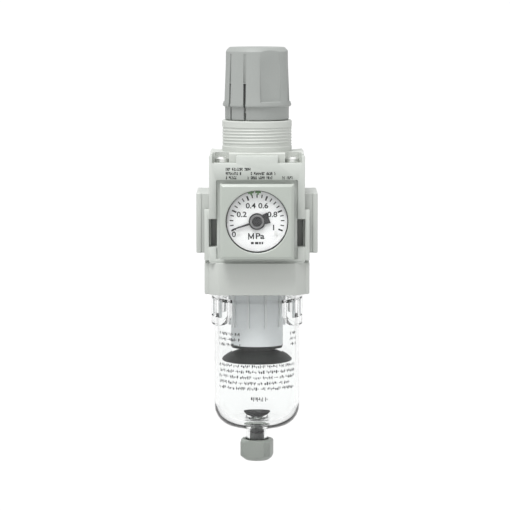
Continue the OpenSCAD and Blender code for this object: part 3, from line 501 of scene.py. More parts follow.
bowl_ink = finish("bowl_ink", (0.035, 0.036, 0.036), (0.055, 0.056, 0.056), 0.6, 2600, 0.004)
pointer_black = finish("pointer_black", (0.010, 0.010, 0.011), (0.018, 0.018, 0.019), 0.30, 1800,
                       0.003, coat=0.2)
hub_silver = finish("hub_silver", (0.24, 0.24, 0.24), (0.30, 0.30, 0.30), 0.34, 1800, 0.003,
                    metal=0.7)
hand_green = finish("hand_green", (0.110, 0.235, 0.085), (0.135, 0.270, 0.110), 0.42, 1800, 0.004)
print_on(panel_plastic, (0.03, 0.032, 0.03),
         ((-13.02, -2.48, -6.85, -5.2), (-12.4, -6.2, -8.6, -6.95),
          (-2.48, 8.06, -8.6, -6.95), (-12.4, -8.06, -10.3, -8.65),
          (-3.72, 6.2, -10.3, -8.65), (9.3, 14.26, -10.3, -8.65)),
         0.62, 1.7, 0.72)

# %% [markdown]
# Bonded fibre is a felt of fine strands pressed into a tube. Two stretched noises crossed at
# an angle look like strands; a low bump lets the studio light catch them.

# %% Bonded fibre of the filter element
fibre = finish("bonded_fibre", (0.82, 0.85, 0.86), (0.91, 0.94, 0.95), 0.85, 900, 0.10,
               smudges=0.05, sheen=0.35, specular=0.2)
tree = fibre.node_tree
where = add_node(tree, "ShaderNodeTexCoord").outputs["Object"]
strands = []
for lean in (0.5, -0.6):
    turned_space = add_node(tree, "ShaderNodeMapping", (
        ("Vector", where), ("Rotation", (lean, lean, 0.3)), ("Scale", (1.0, 1.0, 7.0))))
    strand = add_node(tree, "ShaderNodeTexNoise", (
        ("Vector", turned_space.outputs["Vector"]), ("Scale", 520.0), ("Detail", 3.0)))
    strands.append(strand.outputs["Fac"])
felt = maths(tree, "MULTIPLY", maths(tree, "MAXIMUM", *strands), 0.22)
felt_bump = add_node(tree, "ShaderNodeBump", (
    ("Height", felt), ("Distance", MM), ("Strength", 1.0)))
tree.links.new(felt_bump.outputs["Normal"], tree.nodes["Principled BSDF"].inputs["Normal"])

# %% [markdown]
# Clear polycarbonate and the gauge's window are glass to the light: they bend it, and show
# themselves by their edges. Only the gloss and a very fine ripple change over the surface.
# A ray tracer lets glass cast a full shadow, which would leave the dial and the element in
# the dark, so for shadow rays alone the material is mostly see-through.

# %% Clear mouldings
def clear_moulding(name, tint, ior, roughness, shine):
    material = bpy.data.materials.new(name)
    material.use_nodes = True
    tree = material.node_tree
    shader = tree.nodes["Principled BSDF"]
    shader.inputs["Base Color"].default_value = (*tint, 1)
    shader.inputs["Transmission Weight"].default_value = 1.0
    shader.inputs["IOR"].default_value = ior
    shader.inputs["Specular IOR Level"].default_value = shine
    where = add_node(tree, "ShaderNodeTexCoord").outputs["Object"]
    marks = add_node(tree, "ShaderNodeGroup", node_tree=handling)
    tree.links.new(where, marks.inputs["Vector"])
    gloss = maths(tree, "MULTIPLY_ADD", marks.outputs["Smudge"], roughness, roughness)
    tree.links.new(gloss, shader.inputs["Roughness"])
    passing = add_node(tree, "ShaderNodeLightPath").outputs["Is Shadow Ray"]
    tree.links.new(maths(tree, "MULTIPLY_ADD", passing, -0.85, 1.0), shader.inputs["Alpha"])
    ripple = add_node(tree, "ShaderNodeTexNoise", (("Vector", where), ("Scale", 120.0)))
    bump = add_node(tree, "ShaderNodeBump", (
        ("Height", ripple.outputs["Fac"]), ("Distance", 0.02 * MM), ("Strength", 1.0)))
    tree.links.new(bump.outputs["Normal"], shader.inputs["Normal"])
    return material


clear_bowl = clear_moulding("clear_polycarbonate", (0.962, 0.972, 0.969), 1.38, 0.015, 0.18)
clear_window = clear_moulding("clear_window", (0.985, 0.99, 0.99), 1.25, 0.01, 0.3)
print("finishes:", len(bpy.data.materials))

# %% [markdown]
# ## The pieces
# From here on each piece is made, finished and handed to the body that it moves with. A piece
# names the CAD node that it stands for, and that keeps the node's own shape out of sight.

# %% Places that several pieces share, in millimetres
GAUGE_Z = -26.3  # height of the gauge's axis
PORT_Z = -28  # height of the ports' axis
SCREW_X, SCREW_Y = 14, 11.2  # the four screws that hold the bonnet
print("gauge axis at z", GAUGE_Z, "and ports at z", PORT_Z)

# %% [markdown]
# ## The cast body
# Aluminium is cast close to shape and then bored and tapped. The body is welded up from
# rounded blocks: a core between the two panels, a wide collar for the bowl, and a neck with a
# lip at each port. A casting's edges are round and its bores are crisp, so the blocks are
# softened before they are joined and the bores are cut afterwards.

# %% Blocks of the casting
def soft_block(name, low, high, width=0.45, segments=3):
    return soften(block(name, low, high), width, segments, tidy=False)


def upright_corners(piece, leg, segments=1):
    """Bevels the four upright edges of a block."""
    edit_selected(piece, edge_test=lambda middle, way: abs(way.z) > 0.99)
    bpy.ops.mesh.bevel(offset=leg * MM, segments=segments, affect="EDGES")
    bpy.ops.object.mode_set(mode="OBJECT")
    return piece


casting = soft_block("cast_body", (-19, -14.2, -43.5), (19, 14.2, -8.05), 0.35)
collar = upright_corners(block("collar", (-19.3, -20.6, -56.3), (19.3, 20.6, -43.4)), 4)
soften(collar, 0.35, 3, tidy=False)
blocks = [collar, block("seam", (-18.5, -19.4, -43.6), (18.5, 19.4, -43.05)),
          soft_block("strips", (-20.9, -16.6, -56.24), (20.9, 16.6, -43.46), 0.6)]
for side in (-1, 1):
    xs = sorted((side * 18.0, side * 23.0))
    blocks.append(soft_block("port_neck", (xs[0], -13.6, -39.94), (xs[1], 13.6, -16.06), 0.4))
    xs = sorted((side * 22.0, side * 24.2))
    blocks.append(soft_block("port_lip", (xs[0], -14, -40), (xs[1], 14, -16), 0.5))
weld(casting, *blocks)
print("casting:", len(casting.data.polygons), "faces")

# %% [markdown]
# The bowl's socket, the valve's chambers and the room under the diaphragm share one axis, so
# one turned cutter makes them all. Each port is bored from its own side.

# %% Bores of the casting
bores = [turned("main_bore", [
    (0, -57), (18.9, -57), (18.9, -49.4), (17.3, -49.4), (17.3, -45), (9.4, -45), (9.4, -49),
    (7.2, -49), (7.2, -33), (6, -33), (6, -29), (4.8, -29), (4.8, -14), (1.56, -14),
    (1.56, -11.5), (11.2, -11.5), (11.2, -8.6), (13.5, -8.6), (13.5, -7.5), (0, -7.5)],
    closed=False)]
port_mouth = [(5.7, 13.2), (5.7, 23.5), (6.5, 24.3), (6.5, 25.2), (0, 25.2)]
for side, floor in ((-1, [(0, 10.5), (4, 10.5), (4, 13.2)]), (1, [(0, 13.2)])):
    bore = turned("port_bore", floor + port_mouth, closed=False)
    bores.append(raised(turn_about(bore, side * 90, "Y"), PORT_Z))
bores += [block("outlet_gallery", (3, -3, -28.4), (14.2, 3, -23)),
          rod("inlet_drop", 2.6, (-12.2, 0, -45.2), (-12.2, 0, -28), 32),
          rod("front_gauge_port", 2.62, (0, -15, GAUGE_Z), (0, -9.6, GAUGE_Z), 32, "Y"),
          rod("front_gauge_hole", 1.2, (0, -10, GAUGE_Z), (0, 0, GAUGE_Z), 24, "Y"),
          rod("rear_gauge_hole", 1.2, (0, 0, GAUGE_Z), (0, 10, GAUGE_Z), 24, "Y"),
          rod("rear_gauge_port", 4.2, (0, 9, GAUGE_Z), (0, 15, GAUGE_Z), 48, "Y")]
for sx in (-1, 1):
    for sy in (-1, 1):
        xs, ys = sorted((sx * 16.1, sx * 18.4)), sorted((sy * 8.6, sy * 15.0))
        bores.append(soft_block("window_pocket", (xs[0], ys[0], -37.2), (xs[1], ys[1], -26), 0.3))
        x, y = sx * SCREW_X, sy * SCREW_Y
        bores.append(rod("screw_hole", 1.55, (x, y, -18.5), (x, y, -7), 24))
cut(casting, *bores)
ledges = turned("ledges", [(17.5, -54.6), (19.1, -54.6), (19.1, -52.6), (17.5, -52.6)])
cross = weld(block("cross", (-20, -6.7, -55), (20, 6.7, -52)),
             block("cross_arm", (-6.7, -20, -55), (6.7, 20, -52)))
combine(ledges, [cross], "INTERSECT")
weld(casting, ledges)
hand_over(casting, cast_paint, "casing", "cast_body", "body")

# %% [markdown]
# ## Threads
# A thread is a ridge that climbs as it goes round. The Screw modifier sweeps a small triangle
# like that, and its two open ends are then filled. The pipe thread of each port and the panel
# thread of the neck are made this way and sit a little inside the metal, so no gap shows.

# %% A ridge that climbs round an axis
def thread_ridge(name, root, crest, start, pitch, turns, steps=48):
    clear_selection()
    bpy.ops.mesh.primitive_plane_add(size=MM)
    ridge = bpy.context.object
    ridge.name = ridge.data.name = name
    half = pitch * 0.46
    corners = [(root, start - half), (crest, start - half * 0.12), (crest, start + half * 0.12),
               (root, start + half)]
    bpy.ops.object.mode_set(mode="EDIT")
    bpy.ops.mesh.select_mode(type="VERT")
    bpy.ops.mesh.select_all(action="SELECT")
    bpy.ops.mesh.merge(type="CENTER")
    bpy.ops.transform.translate(value=Vector((corners[0][0], 0, corners[0][1])) * MM)
    for here, there in zip(corners, corners[1:] + corners[:1]):
        bpy.ops.mesh.extrude_region_move(TRANSFORM_OT_translate={
            "value": Vector((there[0] - here[0], 0, there[1] - here[1])) * MM})
    bpy.ops.mesh.select_all(action="SELECT")
    bpy.ops.mesh.remove_doubles(threshold=1e-6)
    bpy.ops.object.mode_set(mode="OBJECT")
    apply_modifier(ridge, "SCREW", axis="Z", angle=math.tau, screw_offset=pitch * MM,
                   iterations=turns, steps=steps, render_steps=steps, use_merge_vertices=False)
    bpy.ops.object.mode_set(mode="EDIT")
    bpy.ops.mesh.select_all(action="DESELECT")
    bpy.ops.mesh.select_non_manifold()
    bpy.ops.mesh.fill_holes(sides=0)
    bpy.ops.mesh.select_all(action="SELECT")
    bpy.ops.mesh.normals_make_consistent(inside=False)
    bpy.ops.object.mode_set(mode="OBJECT")
    return ridge


for side, label in ((-1, "inlet_thread"), (1, "outlet_thread")):
    thread = thread_ridge(label, 5.78, 5.15, 14.6, 1.34, 6)
    raised(turn_about(thread, side * 90, "Y"), PORT_Z)
    hand_over(thread, cast_paint, "casing", "cast_body")

# %% [markdown]
# ## Front and rear panels
# Two snap-on panels with the same outline cover the casting. The outline is modelled once and
# copied; the copy is mirrored to the back. The front panel then gets the square recess of the
# gauge, and the rear one a round hole for its plug. Edges are rounded last, after the cuts.

# %% Panel outline
def panel_outline(name):
    slab = block(name, (-19, -19, -43.2), (19, -14.3, -0.9))
    pillars = []
    for side in (-1, 1):
        xs = sorted((side * 18, side * 20.9))
        pillars.append(block("pillar", (xs[0], -18, -42.6), (xs[1], -14.3, -22.3)))
    weld(slab, *pillars)
    cuts = [block("hollow", (-17.4, -17.2, -9.4), (17.4, -13.8, -5.3))]
    for side in (-1, 1):
        xs = sorted((side * 8.3, side * 17.7))
        cuts.append(block("notch", (xs[0], -19.5, -3.9), (xs[1], -13.8, 0)))
        xs = sorted((side * 15.9, side * 19.06))
        cuts.append(block("window", (xs[0], -19.5, -37.2), (xs[1], -13.8, -26)))
    return cut(slab, *cuts)


front_panel = panel_outline("front_panel")
rear_panel = flipped(copy_of(front_panel, "rear_panel"), "Y")
cut(front_panel, block("recess", (-16.1, -19.5, -41.9), (16.1, -17.7, -10.6)),
    block("case_recess", (-14.1, -18.5, -40.7), (14.1, -15.7, -11.9)))
soften(front_panel, 0.32, 2, 40)
holes = [rod("spigot_hole", 3.2, (0, -19, GAUGE_Z), (0, -13.8, GAUGE_Z), 40, "Y")]
for x in (-11.4, 11.4):
    for z in (-11.6, 11.6):
        start, end = (x, -19, GAUGE_Z + z), (x, -13.8, GAUGE_Z + z)
        holes.append(rod("case_screw_hole", 0.85, start, end, 24, "Y"))
cut(front_panel, *holes)
hand_over(front_panel, panel_plastic, "casing", "cover_plastic", "front_cover")
cut(rear_panel, block("rear_hollow", (-13.5, 13.8, -41.9), (13.5, 17.2, -10.6)))
soften(rear_panel, 0.32, 2, 40)
cut(rear_panel, rod("plug_hole", 6.4, (0, 13.8, GAUGE_Z), (0, 19.5, GAUGE_Z), 64, "Y"))
hand_over(rear_panel, panel_plastic, "casing", "cover_plastic", "rear_cover")

# %% [markdown]
# ## Bonnet
# The bonnet holds the spring. Its square flange is screwed down at the corners, and its round
# neck goes through a panel and carries the panel nut's thread. Neck and tower are turned, the
# flange is a rounded block, and the thread's ridge winds round the neck's waist.

# %% Bonnet
bonnet = soft_block("bonnet_housing", (-18.6, -14.2, -8), (18.6, 14.2, 0), 0.6)
weld(bonnet, turned("neck", [
    (0, -2), (14, -2), (14, 2.0), (13.74, 2.2), (13.74, 9.6), (14, 9.8), (14, 12.05), (13.65, 12.4),
    (10.4, 12.4), (10.4, 15.3), (11, 15.6), (11, 16), (10.4, 16.3), (10.4, 32.5), (9.9, 33),
    (0, 33)], 96, closed=False))
bonnet_cuts = [turned("spring_room", [
    (0, -9), (11.2, -9), (11.2, 9.5), (8.8, 9.5), (8.8, 30), (3.1, 30), (3.1, 34), (0, 34)],
    closed=False)]
for side in (-1, 1):
    xs = sorted((side * 7.8, side * 9.6))
    bonnet_cuts.append(block("keyway", (xs[0], -1.3, 9.0), (xs[1], 1.3, 26.4)))
    for sy in (-1, 1):
        x, y = side * SCREW_X, sy * SCREW_Y
        bonnet_cuts.append(rod("screw_hole", 1.6, (x, y, -9), (x, y, -3), 32))
        pocket = rod("screw_pocket", 2.8, (x, y, -3.9), (x, y, 1), 40)
        xs, ys = sorted((side * 11.2, side * 17.7)), sorted((sy * 11.2, sy * 16))
        weld(pocket, block("open_side", (xs[0], ys[0], -3.9), (xs[1], ys[1], 1)))
        bonnet_cuts.append(pocket)
bonnet_cuts.append(rod("breather", 0.7, (0, 10, 4), (0, 15, 4), 24, "Y"))
cut(bonnet, *bonnet_cuts)
hand_over(bonnet, bonnet_plastic, "casing", "bonnet_plastic", "bonnet")
neck_thread = thread_ridge("neck_thread", 13.6, 13.97, 2.8, 1.25, 5, 72)
hand_over(neck_thread, bonnet_plastic, "casing", "bonnet_plastic")

# %% [markdown]
# ## Knob
# The knob is pulled up to unlock it and turned to set the pressure. It is a deep cup with
# five flat finger grips; the sixth place is a springy tongue between two slits, which snaps
# over the tower's ridge. The cup is turned, and one grip cutter is copied round.

# %% Knob
knob = turned("control_knob", [
    (0, 34.2), (5.4, 34.2), (5.4, 36), (11.4, 36), (11.4, 12.6), (12.45, 12.6), (12.85, 13),
    (12.85, 17.75), (13.75, 18.15), (13.75, 18.9), (13.5, 19.5), (12.75, 39.9), (11.05, 41.6),
    (0, 41.6)], 120, closed=False)
knob_cuts = []
grip = soft_block("grip", (12.15, -4.35, 19.9), (16, 4.35, 43), 0.3, 2)
for i in range(5):
    knob_cuts.append(turn_about(copy_of(grip, f"grip_{i}"), -65 + 60 * i))
bpy.data.objects.remove(grip)
cut(knob, *knob_cuts)
soften(knob, 0.2, 3, 25)
hex_radius = 5.6 / math.sqrt(3) + 0.12
fine_cuts = [turn_about(rod("hex_socket", hex_radius, (0, 0, 33), (0, 0, 40), 6), 30)]
TONGUE_AT = -128  # degrees round the knob
for side in (-16, 16):
    slit = block("slit", (10.4, -0.55, 12), (15, 0.55, 27.3))
    groove = block("groove", (12.62, -0.5, 27.6), (15, 0.5, 38.9))
    fine_cuts += [turn_about(slit, TONGUE_AT + side), turn_about(groove, TONGUE_AT + side)]
cut(knob, *fine_cuts)
assert len(knob.data.polygons) > 1000, "the knob's cuts must leave a whole knob"
hand_over(knob, knob_plastic, "knob", "knob_plastic", "knob", smooth=30)

# %% [markdown]
# ## Gauge bezel
# The square bezel frames a round window. Its face is chamfered on all four sides, which
# catches a bright line along the top. The chamfer is a bevel of the face's four edges.

# %% Bezel
bezel = block("gauge_bezel_frame", (-14.6, -28, -41.2), (14.6, -24.6, -11.4))
edit_selected(bezel, face_test=lambda middle, normal: normal.y < -0.99)
bpy.ops.mesh.bevel(offset=1.05 * MM, segments=1, affect="EDGES")
bpy.ops.object.mode_set(mode="OBJECT")
soften(bezel, 0.22, 3, 30, tidy=False)
window = turned("window", [(0, 24), (13, 24), (13, 27.3), (12.3, 27.3), (12.3, 27.65),
                           (12.75, 28.1), (12.75, 29), (0, 29)], 128, closed=False)
raised(turn_about(window, 90, "X"), GAUGE_Z)
cut(bezel, window)
hand_over(bezel, bezel_plastic, "casing", "bezel_plastic", "gauge_bezel", smooth=25)

# %% [markdown]
# ## Dial print
# The scale is printed on the dial. One long and one short mark are modelled and copied round
# the gauge's centre, 21 in all, and the figures are text objects made into meshes. Every mark
# is a film a few hundredths of a millimetre thick.

# %% Scale marks
DIAL_CENTRE = (0, 0, GAUGE_Z)
printed = []


def scale_mark(name, inner, outer, width, degrees):
    mark = block(name, (inner, -25.26, GAUGE_Z - width / 2), (outer, -25.19, GAUGE_Z + width / 2))
    return turn_about(mark, -degrees, "Y", DIAL_CENTRE)


for step in range(21):
    long_mark = step % 4 == 0
    printed.append(scale_mark(
        f"mark_{step}", 8.9 if long_mark else 9.35, 10.75,
        0.62 if long_mark else 0.42, 200 - 11 * step))
for low, high in ((-2.4, -1.3), (-0.8, 0.5), (0.8, 1.5), (1.8, 2.4)):
    printed.append(block("small_bar", (low, -25.26, -35.3), (high, -25.19, -34.4)))


# %% Figures
def figure(words, x, z, size, bold=0.02, wide=1.12):
    clear_selection()
    bpy.ops.object.text_add(rotation=(math.pi / 2, 0, 0))
    text = bpy.context.object
    text.name = "figure_" + words.replace(".", "_")
    text.data.body = words
    text.data.size = size
    text.data.align_x, text.data.align_y = "CENTER", "CENTER"
    text.data.extrude = 0.03
    text.data.offset = bold * size
    pick(text)
    bpy.ops.object.convert(target="MESH")
    shape = bpy.context.object
    shape.scale = (MM * wide, MM, MM)
    shape.location = Vector((x, -25.23, GAUGE_Z + z)) * MM
    return settle(shape)


for number, degrees in (("0.2", 156), ("0.4", 112), ("0.6", 68), ("0.8", 24)):
    a = math.radians(degrees)
    printed.append(figure(number, 6.6 * math.cos(a), 6.6 * math.sin(a), 2.9))
printed.append(figure("0", -9.1, -5.2, 2.9))
printed.append(figure("1", 6.5, -2.5, 3.0))
printed.append(figure("Pa", 1.1, -5.9, 3.2, 0.02, 1.2))
for (x0, z0), (x1, z1) in (((-3.3, -7), (-3.3, -4.8)), ((-3.3, -4.8), (-2.35, -6.6)),
                           ((-2.35, -6.6), (-1.4, -4.8)), ((-1.4, -4.8), (-1.4, -7))):
    length, lean = math.hypot(x1 - x0, z1 - z0), math.atan2(z1 - z0, x1 - x0)
    leg = block("letter_leg", (x0 - 0.2, -25.26, z0 - 26.52), (x0 + length, -25.19, z0 - 26.08))
    printed.append(turn_about(leg, -math.degrees(lean), "Y", (x0, 0, z0 - 26.3)))
pick(printed[0])
for part_of_print in printed:
    part_of_print.select_set(True)
bpy.ops.object.join()
dial_print = bpy.context.object
dial_print.name = dial_print.data.name = "dial_print"
hand_over(dial_print, print_black, "casing", "dial_face")

# %% [markdown]
# ## Pointer hub
# Between the pointer's black disc and its cap lies a bright ring, a turned washer with a
# slightly domed face.

# %% Hub ring
hub = turned("pointer_hub_ring", [(1.95, 25.9), (2.72, 25.9), (2.72, 26.04), (2.5, 26.1),
                                  (2.1, 26.1), (1.95, 26.04)], 64)
raised(turn_about(hub, 90, "X"), GAUGE_Z)
hand_over(hub, hub_silver, "pointer", "pointer_black")

# %% [markdown]
# ## Clear bowl
# The bowl is one clear moulding: a tube with a round bottom, a nozzle for the drain, a
# bayonet rim inside the collar, and a ribbed finger pad at each side. Glass shows every face
# inside it, so the parts are welded into one closed skin with nothing left over. The profile
# is turned, and arcs give the rounded bottom.

# %% Bowl profile
def arc(centre_r, centre_z, radius, start, end, steps):
    points = []
    for i in range(steps + 1):
        a = math.radians(start + (end - start) * i / steps)
        points.append((centre_r + radius * math.cos(a), centre_z + radius * math.sin(a)))
    return points


bowl_outline = (
    [(3.0, -118.0), (3.2, -118.3), (4.1, -118.3), (4.35, -118.05), (4.35, -112.5)]
    + arc(4.85, -112.5, 0.5, 180, 90, 3)
    + arc(8.6, -103.4, 8.6, -90, 0, 14)
    + [(17.2, -59.1)] + arc(17.6, -59.1, 0.4, 180, 90, 3)
    + [(18.3, -58.7), (18.3, -55.1), (18.2, -55), (17.2, -55), (17.2, -48.3), (15.85, -48.3),
       (15.85, -46.6), (17.2, -46.6), (17.2, -45.9), (16.7, -45.4), (14.7, -45.4), (14.7, -59.2),
       (15.6, -60.4)]
    + arc(8.6, -102.4, 7.0, 0, -90, 12)
    + [(4.7, -109.4), (3.9, -108.6), (3.0, -108.6)])
clear_body = turned("clear_bowl", bowl_outline, 128)

# %% Finger pads and bayonet lugs
pads = turned("finger_pads", [(16.9, -71), (18.4, -71), (18.4, -58.4), (16.9, -58.4)], 128)
pad_window = block("pad_window", (-21, -14, -69.9), (21, 14, -58.45))
edit_selected(pad_window, edge_test=lambda middle, way: abs(way.x) > 0.99 and middle.z < -65)
bpy.ops.mesh.bevel(offset=5 * MM, segments=6, affect="EDGES")
bpy.ops.object.mode_set(mode="OBJECT")
combine(pads, [pad_window], "INTERSECT")
pockets = [block("pocket", (-21, y, -66.5), (21, y + 2.6, -59.5)) for y in (-10.4, -5.2, 2.6, 7.8)]
for pocket in pockets:
    upright_corners(pocket, 0.3, 2)
cut(pads, *pockets)
lugs = turned("lugs", [(16.9, -52.3), (18.6, -52.3), (18.6, -50.2), (16.9, -50.2)], 128)
lug_cross = weld(block("lug_cross", (-20, -6.3, -53), (20, 6.3, -50)),
                 block("lug_cross_arm", (-6.3, -20, -53), (6.3, 20, -50)))
combine(lugs, [lug_cross], "INTERSECT")
weld(clear_body, pads, lugs)
hand_over(clear_body, clear_bowl, "bowl", "bowl_clear", "bowl", smooth=30)

# %% [markdown]
# ## Print on the bowl
# The notes on the bowl are hinted at with short upright strokes, grouped like words, that
# spell nothing. The bowl must stay one clear piece, so the print is its own film: a fine band
# is wrapped round the bowl and cut into three storeys, the faces between the strokes are
# deleted, and Solidify gives the ink its thickness.

# %% Rows of strokes round the bowl
dice = random.Random(7)
rows = []
# Every stroke inks the middle storey, so neighbours share an edge and never only a corner.
STROKES = ((1, 1, 1), (1, 1, 0), (0, 1, 1), (0, 1, 0))


def stroke_plan():
    """For each degree round the bowl, which of three storeys are inked."""
    plan, left_in_word = [], 0
    while len(plan) < 360:
        if left_in_word == 0:
            plan += [(0, 0, 0)] * 2
            left_in_word = dice.randint(3, 8)
        plan += [dice.choice(STROKES), dice.choice(STROKES), (0, 0, 0)][dice.randint(0, 1):]
        left_in_word -= 1
    return plan


def print_row(z, spans, height=1.25):
    clear_selection()
    bpy.ops.mesh.primitive_cylinder_add(
        vertices=360, radius=17.215 * MM, depth=height * MM, end_fill_type="NOTHING",
        location=(0, 0, z * MM))
    band = settle(bpy.context.object)
    edit_selected(band, edge_test=lambda middle, way: abs(way.z) > 0.9)
    bpy.ops.mesh.subdivide(number_cuts=2)
    bpy.ops.object.mode_set(mode="OBJECT")
    plan = stroke_plan()

    def blank(middle, normal):
        left = math.degrees(math.atan2(middle.x, -middle.y))
        storey = min(2, max(0, int((z + height / 2 - middle.z) / height * 3)))
        wanted = any(low <= left <= high for low, high in spans)
        return not (wanted and plan[int(left + 180) % 360][storey])

    edit_selected(band, face_test=blank)
    bpy.ops.mesh.delete(type="FACE")
    bpy.ops.object.mode_set(mode="OBJECT")
    rows.append(band)


for z in (-72.7, -74.9, -77.1):
    print_row(z, ((-61, -23), (50, 64)), 1.2)
for z, low, high in ((-85.4, -61, 60), (-87.6, -61, 60), (-89.9, -61, 61), (-92.2, -61, 52),
                     (-94.4, -61, 61)):
    print_row(z, ((low, high),), 1.3)
print_row(-98.6, ((-9, 14),), 1.7)
pick(rows[0])
for band in rows:
    band.select_set(True)
bpy.ops.object.join()
bowl_print = bpy.context.object
bowl_print.name = bowl_print.data.name = "bowl_print"
apply_modifier(bowl_print, "SOLIDIFY", thickness=0.03 * MM, offset=1)
hand_over(bowl_print, bowl_ink, "bowl", "bowl_clear")

# %% [markdown]
# ## Baffle
# A black cone under the filter element keeps the turning air away from the collected water.
# It is a thin turned shell on a boss, with a lip that drips.

# %% Baffle
cone = turned("baffle_cone", [
    (2.45, -79.28), (6.9, -79.28), (7.2, -79.5), (7.2, -80.2), (8.4, -80.6), (10.6, -81.6),
    (12.6, -82.8), (14.1, -84.0), (14.2, -84.5), (13.8, -84.9), (13.2, -84.7), (10.4, -83.0),
    (6.2, -81.9), (4.3, -81.9), (4.3, -84.6), (2.45, -84.6)], 96)
hand_over(cone, black_acetal, "casing", "baffle_plastic", "baffle", smooth=40)

# %% [markdown]
# ## Drain knob
# Under the bowl sits a small square knob with cut corners; half a turn opens the drain. It is
# a bevelled block trimmed by a turned shape, so its bottom narrows like the real moulding.

# %% Drain knob
drain_knob = block("drain_handle_knob", (-6.1, -6.1, -126), (6.1, 6.1, -117.5))
upright_corners(drain_knob, 2.1)
turn_about(drain_knob, -11)
combine(drain_knob, [turned("trim", [
    (0, -126), (4.7, -126), (7.4, -123.9), (7.4, -118.6), (6.3, -117.5), (0, -117.5)], 96,
    closed=False)], "INTERSECT")
cut(drain_knob, turned("recess", [
    (0, -127), (1.4, -127), (1.4, -123.05), (2.99, -123.05), (2.99, -122.3), (3.44, -122.3),
    (3.44, -121.5), (2.99, -121.5), (2.99, -120.6), (4.75, -120.6), (4.75, -116), (0, -116)], 64,
    closed=False))
soften(drain_knob, 0.2, 2, 28)
hand_over(drain_knob, drain_plastic, "drain_handle", "drain_plastic", "drain_knob", smooth=28)

# %% [markdown]
# ## Finishes for the parts that keep their CAD shape
# Most of the mechanism can only be seen when a part is taken off. Those pieces keep the CAD
# mesh, and each gets the finish of what it is made of.

# %% Finish the carried-over parts
carried_over = {
    zinc_plate: ("bonnet_screws", "adjusting_screw", "screw_clip", "spring_nut",
                 "diaphragm_plate", "gauge_screws", "dial_screws", "zero_stop_pin"),
    spring_wire: ("regulating_spring", "valve_spring", "hairspring"),
    turned_brass: ("diaphragm_retainer", "valve_seat", "valve_stem", "pointer_arbor",
                   "sector_gear", "gauge_link", "bourdon_tube", "gauge_socket",
                   "movement_front_plate", "movement_back_plate", "plate_pillars"),
    black_rubber: ("diaphragm", "valve_rubber", "element_gasket", "bowl_o_ring", "drain_seal",
                   "drain_o_ring", "rear_plug_o_ring", "gauge_o_ring", "lens_gasket"),
    white_acetal: ("thrust_washer", "valve_guide", "deflector"),
    dark_plastic: ("drain_stem",),
    case_plastic: ("gauge_case",),
    hand_green: ("set_hand_low", "set_hand_high"),
    dial_white: ("gauge_dial",),
    fibre: ("filter_element",),
    pointer_black: ("pointer",),
    black_acetal: ("element_cap",),
    bezel_plastic: ("rear_plug",),
    clear_window: ("gauge_lens",),
}
for look, names in carried_over.items():
    for name in names:
        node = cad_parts[name]
        node.data.materials.clear()
        node.data.materials.append(look)
        pick(node)
        bpy.ops.object.shade_smooth_by_angle(angle=math.radians(34))
print("carried over:", sum(len(names) for names in carried_over.values()))

# %% [markdown]
# ## Floor, light and camera
# A studio view of a clear bowl needs a bright, even surround, and something darker at the
# sides so that the bowl's edges read. The floor is far below and very large, one soft key
# comes from above and in front, and the sky does the rest.

# %% Floor
clear_selection()
bpy.ops.mesh.primitive_plane_add(size=ROOM, location=(0, 0, FLOOR_LEVEL))
floor = bpy.context.object
floor.name = "floor"
settle(floor)
floor_paint = bpy.data.materials.new("floor_paint")
floor_paint.use_nodes = True
floor_paint.node_tree.nodes["Principled BSDF"].inputs["Base Color"].default_value = (
    0.63, 0.63, 0.63, 1)
floor_paint.node_tree.nodes["Principled BSDF"].inputs["Roughness"].default_value = 0.8
floor.data.materials.append(floor_paint)
floor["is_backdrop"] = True

# %% Light
world = bpy.data.worlds.new("studio")
bpy.context.scene.world = world
world.use_nodes = True
sky = world.node_tree
background = sky.nodes["Background"]
background.inputs["Strength"].default_value = 1.0
direction = add_node(sky, "ShaderNodeTexCoord").outputs["Generated"]
upward = add_node(sky, "ShaderNodeSeparateXYZ", (("Vector", direction),)).outputs["Z"]
level = stretch(sky, upward, 0.0, 0.9, 0.72, 0.98)
seen = add_node(sky, "ShaderNodeLightPath").outputs["Is Camera Ray"]
level = maths(sky, "MAXIMUM", level, seen)  # behind the object the sky is as white as the floor
shade = add_node(sky, "ShaderNodeCombineColor", (("Red", level), ("Green", level), ("Blue", level)))
sky.links.new(shade.outputs["Color"], background.inputs["Color"])
clear_selection()
bpy.ops.object.light_add(type="SUN", rotation=(math.radians(22), math.radians(-12), 0))
sun = bpy.context.object
sun.name = "key"
sun.data.energy = 2.6
sun.data.angle = math.radians(28)
bpy.context.scene.view_settings.view_transform = "Standard"

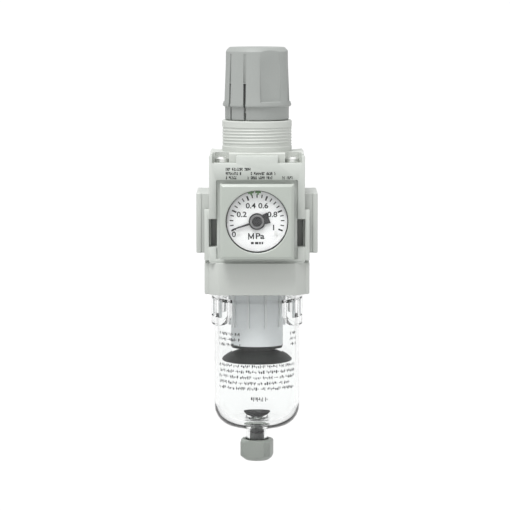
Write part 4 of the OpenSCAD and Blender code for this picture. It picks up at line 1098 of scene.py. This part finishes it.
# %% [markdown]
# Clear glass shows itself by what it bends into view. Four grey cards stand a metre away on
# the diagonals. Only reflected and refracted light meets them, so they darken the edges of
# the bowl and never stand in the view. Their rims fade out, so no hard line is refracted.

# %% Grey cards
card_grey = bpy.data.materials.new("card_grey")
card_grey.use_nodes = True
card_grey.node_tree.nodes["Principled BSDF"].inputs["Base Color"].default_value = (
    0.10, 0.10, 0.10, 1)
card_tree = card_grey.node_tree
place = add_node(card_tree, "ShaderNodeSeparateXYZ", (
    ("Vector", add_node(card_tree, "ShaderNodeTexCoord").outputs["Generated"]),))
fades = []
for way in ("X", "Z"):
    off_centre = maths(
        card_tree, "ABSOLUTE", maths(card_tree, "SUBTRACT", place.outputs[way], 0.5))
    fades.append(stretch(card_tree, off_centre, 0.5, 0.12, 0.0, 1.0))
card_tree.links.new(
    maths(card_tree, "MULTIPLY", *fades), card_tree.nodes["Principled BSDF"].inputs["Alpha"])
for quarter in range(4):
    clear_selection()
    bpy.ops.mesh.primitive_plane_add(size=1, rotation=(math.pi / 2, 0, 0))
    card = bpy.context.object
    card.name = f"card_{quarter}"
    card.scale = (0.55, 0.75, 1)
    card.location = (0, 1.0, 0.09)
    settle(card)
    card.data.transform(Matrix.Rotation(math.radians(45 + 90 * quarter), 4, "Z"))
    card.data.materials.append(card_grey)
    card.visible_camera = card.visible_diffuse = card.visible_shadow = False
    card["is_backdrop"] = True

# %% [markdown]
# A long lens a metre away gives a calm perspective with little distortion. It looks
# slightly down on the gauge.

# %% Camera
camera_data = bpy.data.cameras.new("camera")
camera = bpy.data.objects.new("camera", camera_data)
bpy.context.scene.collection.objects.link(camera)
camera_data.sensor_width = 36.0
camera_data.lens = 175.5
camera.location = (-0.0008, -1.0, 0.065)
target = Vector((-0.0008, 0.0, -0.0423))
camera.rotation_euler = (target - camera.location).to_track_quat("-Z", "Y").to_euler()
bpy.context.scene.camera = camera

# %% Compare the finished box with the CAD box, and finish
now_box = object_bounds()
for before, after in zip(cad_box, now_box):
    print([round((b - a) / MM, 2) for a, b in zip(before, after)])
